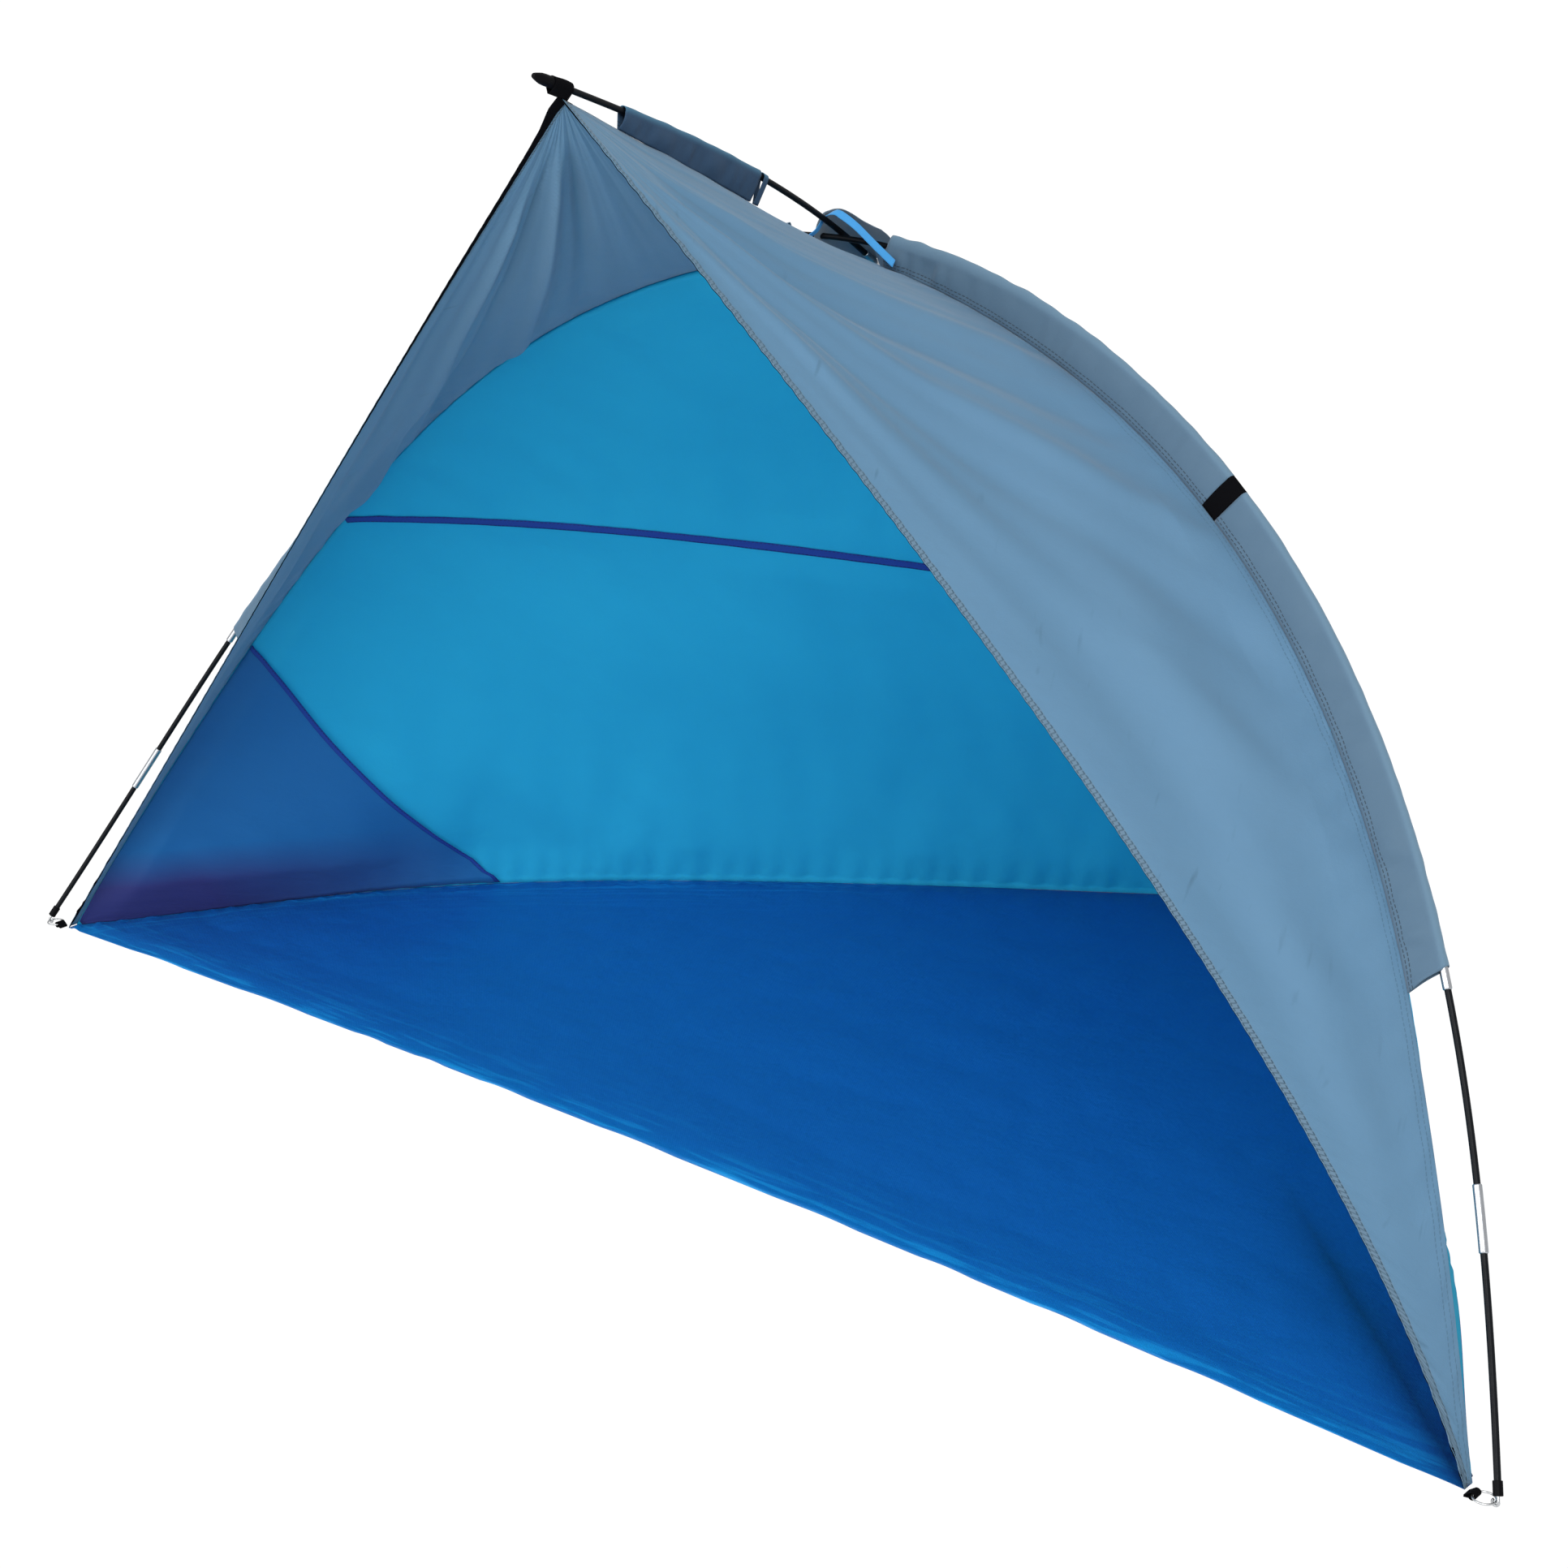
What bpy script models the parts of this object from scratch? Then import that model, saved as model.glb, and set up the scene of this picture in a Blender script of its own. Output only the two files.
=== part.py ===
"""Beach tent for two people to sit in: an arched pole and a ridge pole hold up a cloth shell
with a wide triangular mouth, over a ground sheet.

Lengths are in metres, +Z is up and the mouth faces -Y. The poles are measured from the line
between the two front feet, and the whole tent is then set back by origin_setback, so that the
origin lies on the ground under the middle of the ground sheet.
"""
import math

import bmesh
import bpy
from mathutils import Matrix, Vector

# Where the frame stands
arch_half_span = 1.100
foot_lift = 0.012
rear_foot_y = 1.187
origin_setback = 0.45

# Arch pole, bent like a spring strip between its two feet and leaning back
arch_height = 1.0345
arch_lean = 0.359
arch_bow = 0.050
arch_sections = 13

# Ridge pole, from the cap over the mouth, across the arch pole, to the rear foot
ridge_front_y = -0.132
ridge_front_z = 1.2440
ridge_sections = 6
crossing_gap = 0.0013

# Pole stock: hollow fibreglass with a metal ferrule glued on one end of each section
pole_radius = 0.0035
bore_radius = 0.0022
ferrule_radius = 0.00475
ferrule_length = 0.066
joint_gap = 0.0003
ferrule_step = 0.0003
shock_cord_radius = 0.0011
shock_cord_start = 0.055

# Pole tips
tip_length = 0.014
tip_wall = 0.0011
tip_lip = 0.0012
tip_bevel = 0.0003

# Pins, rings and webbing tabs at the feet
pin_radius = 0.0015
pin_engagement = 0.040
eye_radius = 0.0032
eye_turn = 250
eye_steps = 10
ring_radius = 0.011
ring_wire_radius = 0.0011
ground_gap = 0.0003
tab_width = 0.012
tab_cloth = 0.0008
tab_loop_radius = 0.0037
tab_leg_length = 0.0045
tab_leg_pitch = 0.0012
tab_mouth = 40
tab_loop_steps = 7

# Front end cap
cap_radius = 0.0066
cap_length = 0.0535
cap_socket = 0.0425
cap_rim = 0.0008
cap_nose_radius = 0.0030
cap_nose_length = 0.014
cap_notch = 0.0036
cap_notch_depth = 0.006

# Cloth shell
cloth = 0.0012
seam_gap = 0.0009
corner_clearance = 0.0108
sleeve_cloth = 0.0008
clearance = 0.0003
apex_reach = 0.0374
apex_depth = 0.0114
corner_inset = 0.034
corner_half_span = arch_half_span - corner_inset
hem_end_y = 0.002
rear_edge_end_y = 0.016
hem_bow_out = 0.060
hem_bow_back = 0.055
hem_bow_drop = 0.0085
hem_skew_out = 0.053
hem_skew_back = 0.032
hem_skew_drop = 0.042
rear_edge_bow = 0.006
ridge_seam_rise = 0.001

# Folds in the cloth: how far they stand out, how many there are, how far they drift down the
# panel, and which way they stand
front_fold = 0.006
front_fold_count = 3.5
front_fold_drift = 1.1
front_fold_length_share = 0.87
front_fold_way = Vector((0.62, -0.70, 0.35))
back_fold = 0.003
back_fold_count = 5
back_fold_drift = 0.64
back_fold_way = Vector((0.45, 0.80, 0.40))

# Sleeves: how far the seams hang inside the poles, and where the sleeves begin and end
sleeve_depth = 0.040
crown_depth = 0.0165
crown_reach = 0.42
ridge_depth = 0.030
sleeve_foot = 0.483
band_start = 1.037
band_width = 0.023
crown_mouth = 0.075
crown_fullness = 0.010
fullness_reach = 0.460
leg_gap = 0.0004
front_sleeve_start = 0.128
front_sleeve_end = 0.365
ridge_strap_start = 0.372
ridge_strap_width = 0.008
rear_sleeve_start = 0.640
rear_sleeve_foot = 0.150
apex_band_start = 0.013
apex_band_width = 0.020
apex_band_cloth = 0.0012

# Hood over the crossing. Its lip stands up in front of the arch pole and its foot lies over the
# ridge pole behind; both run from the left of the ridge to the mouth of the right sleeve, as
# shares of the hood's reach to the side and of its rise or fall from the ridge pole.
hood_ahead = 0.013
hood_behind = 0.071
hood_reach = 0.071
hood_rise = 0.019
hood_fall = 0.0496
hood_lip_share = ((-0.282, 0.184), (-0.169, 0.605), (-0.056, 0.868), (0.056, 1.0), (0.211, 1.0),
                  (0.423, 0.763), (0.634, 0.447), (0.845, 0.211), (1.0, 0.105))
hood_foot_share = ((-0.423, -0.806), (-0.169, -0.242), (-0.0775, 0.0907), (0.0, 0.141),
                   (0.0775, 0.0907), (0.169, -0.242), (0.423, -0.806), (0.704, -0.887),
                   (1.0, -1.0))
hood_rows = 5

# Ribbon tied over the crossing, from the left of the ridge to the seam of the right sleeve, as
# shares of its reach to the side, forwards and up or down from the crossing
tie_width = 0.010
tie_cloth = 0.001
tie_reach = 0.098
tie_setback = 0.029
tie_drop = 0.039
tie_line_share = ((-0.286, -1.0, -0.703), (-0.122, -0.897, -0.351), (-0.037, -0.759, 0.096),
                  (0.092, -0.724, 0.285), (0.204, -0.724, 0.234), (0.429, -0.724, -0.049),
                  (0.714, -0.724, -0.536), (1.0, -0.793, -1.0))

# Tapes
hem_tape_width = 0.016
hem_tape_low_width = 0.0045
hem_tape_taper = 0.16
tape_cloth = 0.0008
seam_tape_width = 0.014
tape_seam_side_z = 0.600
tape_rear_z = 0.526

# Ground sheet
rear_corner_inset = 0.035
floor_depth = rear_foot_y - rear_corner_inset
floor_sheet = 0.0012
floor_front_bow = 0.030
ear_length = 0.010
ear_half_width = 0.008
floor_shoulder_share = Vector((0.7724, 0.3720))
floor_flank_share = Vector((0.8189, 0.4560))

# Corner pockets
pocket_length = 0.323
pocket_fullness = 0.002
pocket_standoff = 0.0022
pocket_margin_share = 0.03
corner_fill_share = 0.96
pocket_sag_share = 0.06
pocket_rise_share = 0.35
normal_share = 0.25

# Counts that set how finely the shapes are drawn
steps_per_section = 4
panel_columns = 8
wall_rows = 6
low_stations = 6
pocket_rows = 12
pocket_columns = 12
floor_front_steps = 6
floor_edge_steps = 24
dense_samples = 400
pole_sides = 8
turned_sides = 16
ring_steps = 20
ring_sides = 8
weld_distance = 0.00001
mirror_weld_distance = 0.0001


# Colours and finishes

def material(name, colour, roughness, metallic=0.0):
    """A plain surface finish in one colour."""
    finish = bpy.data.materials.new(name)
    finish.use_nodes = True
    shader = finish.node_tree.nodes["Principled BSDF"]
    shader.inputs["Base Color"].default_value = (*colour, 1.0)
    shader.inputs["Roughness"].default_value = roughness
    shader.inputs["Metallic"].default_value = metallic
    finish.diffuse_color = (*colour, 1.0)
    return finish


# Collections and objects

def clear_scene():
    """Empty the file of whatever it holds."""
    for item in list(bpy.data.objects):
        bpy.data.objects.remove(item, do_unlink=True)


def collection(name):
    """A new collection under the scene."""
    group = bpy.data.collections.new(name)
    bpy.context.scene.collection.children.link(group)
    return group


def add_object(name, data, group, parent=None):
    """Put mesh or curve data in the scene under a parent."""
    item = bpy.data.objects.new(name, data)
    group.objects.link(item)
    item.parent = parent
    return item


def shade_smooth(item, angle=math.radians(40)):
    """Smooth shading with the true edges kept."""
    item.data.shade_smooth()
    item.data.set_sharp_from_angle(angle=angle)


# Curves in space

class Route:
    """A run of straight steps through points, measured along its length."""

    def __init__(self, points):
        self.points = [Vector(p) for p in points]
        self.marks = [0.0]
        for a, b in zip(self.points, self.points[1:]):
            self.marks.append(self.marks[-1] + (b - a).length)

    @property
    def length(self):
        return self.marks[-1]

    def step(self, distance):
        """The number of the straight step that holds a distance."""
        for index in range(len(self.points) - 2):
            if distance < self.marks[index + 1]:
                return index
        return len(self.points) - 2

    def at(self, distance):
        index = self.step(distance)
        a, b = self.points[index], self.points[index + 1]
        share = (distance - self.marks[index]) / (self.marks[index + 1] - self.marks[index])
        return a.lerp(b, share)

    def along(self, distance):
        """The direction of travel at a distance, evened out at the corners."""
        index = self.step(distance)
        reach = (self.marks[index + 1] - self.marks[index]) / 2
        ahead = min(distance + reach, self.length)
        behind = max(distance - reach, 0.0)
        return (self.at(ahead) - self.at(behind)).normalized()

    def stations(self, start, end):
        """Distances of the two ends and of each corner between them."""
        inner = [m for m in self.marks if start + clearance < m < end - clearance]
        return [start] + inner + [end]


def even_steps(points, count):
    """The same curve as a route of equal steps."""
    dense = Route(points)
    return Route([dense.at(dense.length * k / count) for k in range(count + 1)])


def bezier(a, b, c, d, share):
    """A point on a cubic curve with four control points."""
    rest = 1 - share
    return a * rest ** 3 + b * 3 * rest ** 2 * share + c * 3 * rest * share ** 2 + d * share ** 3


def bent_strip(foot_angle):
    """Rise and run of half a strip that is pinned at its feet, per unit of its length.

    Its slope falls from foot_angle at the foot to nothing at the crown, as a cosine.
    """
    x, z, points = 0.0, 0.0, [(0.0, 0.0)]
    for k in range(dense_samples):
        angle = foot_angle * math.cos(math.pi / 2 * (k + 0.5) / dense_samples)
        x += math.cos(angle) / dense_samples
        z += math.sin(angle) / dense_samples
        points.append((x, z))
    return points


def arch_points():
    """The arch pole's centre line, from the left foot over the crown to the right foot."""
    rise = arch_height - foot_lift
    low, high = 0.0, math.pi / 2
    for _ in range(50):
        foot_angle = (low + high) / 2
        run, height = bent_strip(foot_angle)[-1]
        if height / run < rise / arch_half_span:
            low = foot_angle
        else:
            high = foot_angle
    half = bent_strip(foot_angle)
    scale = arch_half_span / half[-1][0]
    left = []
    for x, z in half:
        share = z * scale / rise
        y = arch_lean * share + arch_bow * 4 * share * (1 - share)
        left.append(Vector((x * scale - arch_half_span, y, foot_lift + z * scale)))
    right = [Vector((-p.x, p.y, p.z)) for p in reversed(left[:-1])]
    return left + right


def turned_arm(turn):
    """End point of a unit arm whose slope changes by turn, ever more slowly."""
    y, z = 0.0, 0.0
    for k in range(dense_samples):
        share = (k + 0.5) / dense_samples
        angle = turn * (2 * share - share ** 2)
        y += math.cos(angle) / dense_samples
        z += math.sin(angle) / dense_samples
    return y, z


def ridge_points():
    """The ridge pole's centre line, from inside the cap over the crossing to the rear foot."""
    crossing = Vector((0, arch_lean, arch_height + 2 * pole_radius + crossing_gap))
    front = Vector((0, ridge_front_y, ridge_front_z))
    foot = Vector((0, rear_foot_y, foot_lift))
    front_chord, rear_chord = crossing - front, foot - crossing
    front_angle = math.atan2(-front_chord.z, front_chord.y)
    rear_angle = math.atan2(-rear_chord.z, rear_chord.y)
    low, high = 0.0, math.pi / 2
    for _ in range(50):
        rear_turn = (low + high) / 2
        rear_y, rear_z = turned_arm(rear_turn)
        rear_length = rear_chord.length / math.hypot(rear_y, rear_z)
        front_turn = rear_turn * front_chord.length / rear_length
        front_y, front_z = turned_arm(front_turn)
        bend = math.atan2(rear_z, rear_y) + math.atan2(front_z, front_y)
        if bend < rear_angle - front_angle:
            low = rear_turn
        else:
            high = rear_turn
    front_length = front_chord.length / math.hypot(front_y, front_z)
    slope = rear_angle - math.atan2(rear_z, rear_y)

    def arm(length, turn, sign):
        points, here = [], crossing.copy()
        for k in range(dense_samples):
            share = (k + 0.5) / dense_samples
            angle = slope + sign * turn * (2 * share - share ** 2)
            stride = length / dense_samples
            here = here + Vector((0, math.cos(angle), -math.sin(angle))) * stride * sign
            points.append(here)
        return points

    front_arm = arm(front_length, front_turn, -1)
    return list(reversed(front_arm)) + [crossing] + arm(rear_length, rear_turn, 1)


# The cloth's edges, for the right half of the tent

def inward(route, distance, middle):
    """Unit vector square to a pole, towards a point inside the tent."""
    point, along = route.at(distance), route.along(distance)
    across = middle - point
    return (across - along * across.dot(along)).normalized()


def arch_seam(route, distance):
    """Where the arch sleeve is sewn to the shell, beside a distance from the right foot."""
    middle = Vector((0, arch_lean / 3, arch_height / 3))
    from_crown = route.length / 2 - distance
    share = min(abs(from_crown) / crown_reach, 1.0)
    depth = crown_depth + (sleeve_depth - crown_depth) * (2 * share - share ** 2)
    along = route.length - distance
    return route.at(along) + inward(route, along, middle) * depth


def ridge_line(route, distance):
    """The line of the shell under the rear part of the ridge pole."""
    middle = Vector((0, arch_lean, 0))
    return route.at(distance) + inward(route, distance, middle) * ridge_depth


def floor_edge(share):
    """Rear edge of the ground sheet, from the rear foot (0) to the front corner (1)."""
    back = Vector((0, floor_depth, 0))
    flank = Vector((corner_half_span * floor_flank_share.x, floor_depth * floor_flank_share.y, 0))
    shoulder = Vector((corner_half_span * floor_shoulder_share.x,
                       floor_depth * floor_shoulder_share.y, 0))
    corner = Vector((corner_half_span, rear_edge_end_y, 0))
    return bezier(back, flank, shoulder, corner, share)


def apex_point(ridge):
    """Peak of the mouth, under the ridge pole's front end."""
    middle = Vector((0, arch_lean, 0))
    return ridge.at(apex_reach) + inward(ridge, apex_reach, middle) * apex_depth


def ridge_seam(apex, share):
    """Ridge of the canopy in front of the crossing, from the apex (0) to the crown (1)."""
    crown = Vector((0, arch_lean, arch_height - crown_depth))
    return apex.lerp(crown, share) + Vector((0, 0, ridge_seam_rise * 4 * share * (1 - share)))


def front_hem(apex, share):
    """Edge of the mouth, from the apex (0) to the front corner (1)."""
    corner = Vector((corner_half_span, hem_end_y, wall_foot_z))
    bow = Vector((hem_bow_out, hem_bow_back, -hem_bow_drop))
    bow += Vector((hem_skew_out, hem_skew_back, -hem_skew_drop)) * (2 * share - 1)
    return apex.lerp(corner, share) + bow * 4 * share * (1 - share)


wall_foot_z = floor_sheet + clearance + cloth


def coons(bottom, top, left, right, across, up):
    """A point on the smooth patch between four edges that share their ends."""
    edges = bottom(across).lerp(top(across), up) + left(up).lerp(right(up), across)
    corners = bottom(0.0).lerp(bottom(1.0), across).lerp(top(0.0).lerp(top(1.0), across), up)
    return edges - corners


# Solids

def loft(name, rows, thickness, finish, group, parent, mirrored=False, side=1):
    """A sheet through rows of points, given an even thickness about them."""
    mesh = bpy.data.meshes.new(name)
    shape = bmesh.new()
    grid = [[shape.verts.new((p.x * side, p.y, p.z)) for p in row] for row in rows]
    for row, after in zip(grid, grid[1:]):
        for k in range(len(row) - 1):
            if side > 0:
                shape.faces.new((row[k], row[k + 1], after[k + 1], after[k]))
            else:
                shape.faces.new((row[k], after[k], after[k + 1], row[k + 1]))
    shape.to_mesh(mesh)
    shape.free()
    item = add_object(name, mesh, group, parent)
    item.data.materials.append(finish)
    if mirrored:
        mirror = item.modifiers.new("Mirror", "MIRROR")
        mirror.merge_threshold = mirror_weld_distance
    solid = item.modifiers.new("Solidify", "SOLIDIFY")
    solid.thickness = thickness
    solid.offset = 0.0
    solid.use_even_offset = True
    shade_smooth(item)
    return item


def rod_mesh(name, points, radii, sides=2):
    """The closed mesh of a round rod through points, with a radius at each."""
    curve = bpy.data.curves.new(name, "CURVE")
    curve.dimensions = "3D"
    curve.bevel_depth = radii[0]
    curve.bevel_resolution = sides
    curve.use_fill_caps = True
    spline = curve.splines.new("POLY")
    spline.points.add(len(points) - 1)
    for slot, point, radius in zip(spline.points, points, radii):
        slot.co = (*point, 1.0)
        slot.radius = radius / radii[0]
    guide = bpy.data.objects.new(name, curve)
    bpy.context.scene.collection.objects.link(guide)
    view = bpy.context.evaluated_depsgraph_get()
    mesh = bpy.data.meshes.new_from_object(guide.evaluated_get(view), depsgraph=view)
    bpy.data.objects.remove(guide, do_unlink=True)
    shape = bmesh.new()
    shape.from_mesh(mesh)
    bmesh.ops.remove_doubles(shape, verts=shape.verts, dist=weld_distance)
    shape.to_mesh(mesh)
    shape.free()
    return mesh


def rod(name, points, radii, finish, group, parent, sides=2):
    """A round rod through points, as one object."""
    item = add_object(name, rod_mesh(name, points, radii, sides), group, parent)
    item.data.materials.clear()
    item.data.materials.append(finish)
    shade_smooth(item)
    return item


def cut(item, cutter):
    """Take the cutter's shape out of an item."""
    cutter.hide_render = True
    cutter.display_type = "WIRE"
    change = item.modifiers.new("Cut", "BOOLEAN")
    change.operation = "DIFFERENCE"
    change.solver = "EXACT"
    change.object = cutter


def turned(name, profile, finish, group, parent, steps=turned_sides):
    """A closed profile of (radius, height) pairs turned about the item's own Z axis."""
    mesh = bpy.data.meshes.new(name)
    shape = bmesh.new()
    verts = [shape.verts.new((radius, 0, height)) for radius, height in profile]
    for k in range(len(verts) - 1):
        shape.edges.new((verts[k], verts[k + 1]))
    if profile[0][0] > 0:
        shape.edges.new((verts[-1], verts[0]))
    shape.to_mesh(mesh)
    shape.free()
    item = add_object(name, mesh, group, parent)
    item.data.materials.append(finish)
    screw = item.modifiers.new("Screw", "SCREW")
    screw.steps = steps
    screw.render_steps = steps
    screw.use_merge_vertices = True
    screw.merge_threshold = weld_distance
    screw.use_smooth_shade = True
    return item


def aim(item, place, along):
    """Put an item at a place with its own Z axis along a direction."""
    item.location = place
    item.rotation_mode = "QUATERNION"
    item.rotation_quaternion = along.to_track_quat("Z", "Y")


def polygon_reach(radius, sides):
    """Corner radius of a regular polygon whose flats clear a given radius."""
    return radius / math.cos(math.pi / sides)


def pole_section(name, route, start, end, ferrule, finish, parts, cutters, parent):
    """One hollow section from start to end, with its ferrule beyond the far end if it has one."""
    half = ferrule_length / 2
    socket = polygon_reach(pole_radius + clearance, pole_sides)
    begin, finish_line = start + joint_gap / 2, end - joint_gap / 2
    outer_end = end + half if ferrule else finish_line
    outer = []
    for mark in route.stations(begin, outer_end):
        outer.append((mark, pole_radius if not ferrule or mark < end - half else ferrule_radius))
    inner_start, inner_end = begin - ferrule_step, outer_end + ferrule_step
    bore_end = finish_line - ferrule_step if ferrule else finish_line
    inner = [(mark, bore_radius) for mark in route.stations(max(inner_start, 0.0), bore_end)]
    if ferrule:
        outer += [(end - half, pole_radius), (end - half + ferrule_step, ferrule_radius)]
        inner += [(mark, socket) for mark in route.stations(finish_line, inner_end)]
    outer.sort()
    inner.sort()

    def place(mark):
        return route.at(mark)

    item = rod(name, [place(m) for m, _ in outer], [r for _, r in outer], finish, parts, parent)
    first = route.at(inner[0][0]) - route.along(0.0) * ferrule_step
    centres = [place(m) for m, _ in inner]
    if inner_start < 0:
        centres[0] = first
    if not ferrule:
        last = centres[-1] + (centres[-1] - centres[-2]).normalized() * ferrule_step
        centres[-1] = last
    bore = add_object(name + "_bore", rod_mesh(name + "_bore", centres, [r for _, r in inner]),
                      cutters, parent)
    cut(item, bore)
    return item


def wrap(name, centres, seams, room, thickness, stand_off, finish, parts, parent, side=1,
         fullness=None):
    """Cloth folded round a pole, clearing it by room, with both legs running to a seam.

    The fullness of each row is how much farther the fold stands out beyond the pole.
    """
    radius = (room + thickness / 2) / math.cos((wrap_turns[2] - wrap_turns[1]) / 2)
    rows = []
    last = len(centres) - 1
    for k, (centre, seam) in enumerate(zip(centres, seams)):
        along = (centres[min(k + 1, last)] - centres[max(k - 1, 0)]).normalized()
        down = seam - centre
        down = down - along * down.dot(along)
        depth = down.length
        down = down / depth
        across = along.cross(down).normalized()
        half_gap = thickness / 2 + leg_gap
        foot = depth - stand_off
        row = [centre + down * foot + across * half_gap]
        row.append(centre + down * (foot + radius) / 2 + across * (radius + half_gap) / 2)
        for turn in wrap_turns:
            reach = radius
            if fullness and math.sin(turn) > 0:
                reach += fullness[k]
            row.append(centre + across * math.cos(turn) * radius - down * math.sin(turn) * reach)
        row.append(centre + down * (foot + radius) / 2 - across * (radius + half_gap) / 2)
        row.append(centre + down * foot - across * half_gap)
        rows.append(row)
    return loft(name, rows, thickness, finish, parts, parent, side=side)


wrap_turns = [math.radians(angle) for angle in (-10, 35, 90, 145, 190)]


# The tent

def build_poles(arch, ridge, finishes, parts, cutters, frame):
    """Both poles, section by section, with the elastic cord inside each."""
    step = arch.length / arch_sections
    for k in range(arch_sections):
        pole_section("arch_pole_section_%02d" % (k + 1), arch, k * step, (k + 1) * step,
                     k < arch_sections - 1, finishes["fibreglass"], parts, cutters, frame)
    step = ridge.length / ridge_sections
    for k in range(ridge_sections):
        pole_section("ridge_pole_section_%d" % (k + 1), ridge, k * step, (k + 1) * step,
                     k < ridge_sections - 1, finishes["fibreglass"], parts, cutters, frame)
    for name, route, start in (("arch_shock_cord", arch, shock_cord_start),
                               ("ridge_shock_cord", ridge, 0.0)):
        marks = route.stations(start, route.length - shock_cord_start)
        rod(name, [route.at(m) for m in marks], [shock_cord_radius] * len(marks),
            finishes["elastic"], parts, frame, sides=1)


def build_foot(name, pole_end, into_pole, towards, finishes, parts, frame):
    """Tip, pin, ring and webbing tab at one foot."""
    up = Vector((0, 0, 1))
    across = up.cross(towards)
    reach = polygon_reach(pole_radius + clearance, turned_sides)
    hole = polygon_reach(pin_radius + clearance, turned_sides)
    low, high = -joint_gap - tip_lip, tip_length - tip_lip
    rim = reach + tip_wall
    profile = [(rim - tip_bevel, high), (rim, high - tip_bevel), (rim, low + tip_bevel),
               (rim - tip_bevel, low), (hole, low), (hole, low + tip_lip), (reach, low + tip_lip),
               (reach, high)]
    tip = turned(name + "_pole_tip", profile, finishes["moulding"], parts, frame)
    aim(tip, pole_end, into_pole)

    lean = (into_pole - across * into_pole.dot(across)).normalized()
    outward = lean.cross(across)
    if outward.dot(towards) < 0:
        outward = -outward
    eye_height = eye_radius + pin_radius + ground_gap
    joint_height = eye_height - eye_radius * outward.z
    joint = pole_end - into_pole * (pole_end.z - joint_height) / into_pole.z
    eye = joint + outward * eye_radius
    top = pole_end + into_pole * pin_engagement
    turns = [math.radians(eye_turn * k / eye_steps) for k in range(eye_steps + 1)]
    bend = [-(outward * math.cos(t) + lean * math.sin(t)) * eye_radius for t in turns]
    points = [top - eye] + bend
    pin = rod(name + "_pin", points, [pin_radius] * len(points), finishes["steel"], parts, frame)
    pin.location = eye

    bpy.ops.mesh.primitive_torus_add(major_radius=ring_radius, minor_radius=ring_wire_radius,
                                     major_segments=ring_steps, minor_segments=ring_sides)
    ring = bpy.context.object
    for home in list(ring.users_collection):
        home.objects.unlink(ring)
    parts.objects.link(ring)
    ring.name = name + "_ring"
    ring.data.name = ring.name
    ring.parent = frame
    ring.location = eye + towards * ring_radius
    ring.data.materials.append(finishes["steel"])
    shade_smooth(ring)

    sag = ring_radius - math.sqrt(ring_radius ** 2 - (tab_width / 2) ** 2)
    wire = eye + towards * (2 * ring_radius - sag / 2)
    lower = floor_sheet + clearance + tab_cloth / 2
    rows = []
    for side in (-1, 1):
        row = [wire + towards * (tab_loop_radius + tab_leg_length)]
        row[0].z = lower
        for k in range(tab_loop_steps + 1):
            turn = -math.radians(tab_mouth + (360 - 2 * tab_mouth) * k / tab_loop_steps)
            around = towards * math.cos(turn) + up * math.sin(turn)
            row.append(wire + around * tab_loop_radius)
        row.append(row[0] + up * tab_leg_pitch)
        rows.append([p + across * side * tab_width / 2 for p in row])
    loft(name + "_tab", rows, tab_cloth, finishes["webbing"], parts, frame)


def build_cap(ridge, finishes, parts, cutters, frame):
    """Moulded cap on the front end of the ridge pole, with a notched nose."""
    along = ridge.along(0.0)
    socket = polygon_reach(pole_radius + clearance, turned_sides)
    rear, front = cap_socket, cap_socket - cap_length
    shoulder = front + cap_nose_length
    floor_level = -joint_gap
    bead_start, bead_end = rear - cap_rim, rear - 3 * cap_rim
    profile = [(0, floor_level), (socket, floor_level), (socket, rear), (cap_radius, rear),
               (cap_radius + cap_rim, bead_start), (cap_radius + cap_rim, bead_end),
               (cap_radius, bead_end - cap_rim), (cap_radius, shoulder),
               ((cap_radius + cap_nose_radius) / 2 + cap_rim, (shoulder + front) / 2),
               (cap_nose_radius, front), (0, front)]
    cap = turned("front_end_cap", profile, finishes["moulding"], parts, frame)
    aim(cap, ridge.at(0.0), along)
    bpy.ops.mesh.primitive_cube_add(size=1.0)
    notch = bpy.context.object
    for home in list(notch.users_collection):
        home.objects.unlink(notch)
    cutters.objects.link(notch)
    notch.name = "cap_notch"
    notch.parent = frame
    notch.scale = (4 * cap_radius, cap_notch, 2 * cap_notch_depth)
    aim(notch, ridge.at(0.0) + along * front, along)
    cut(cap, notch)


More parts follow.
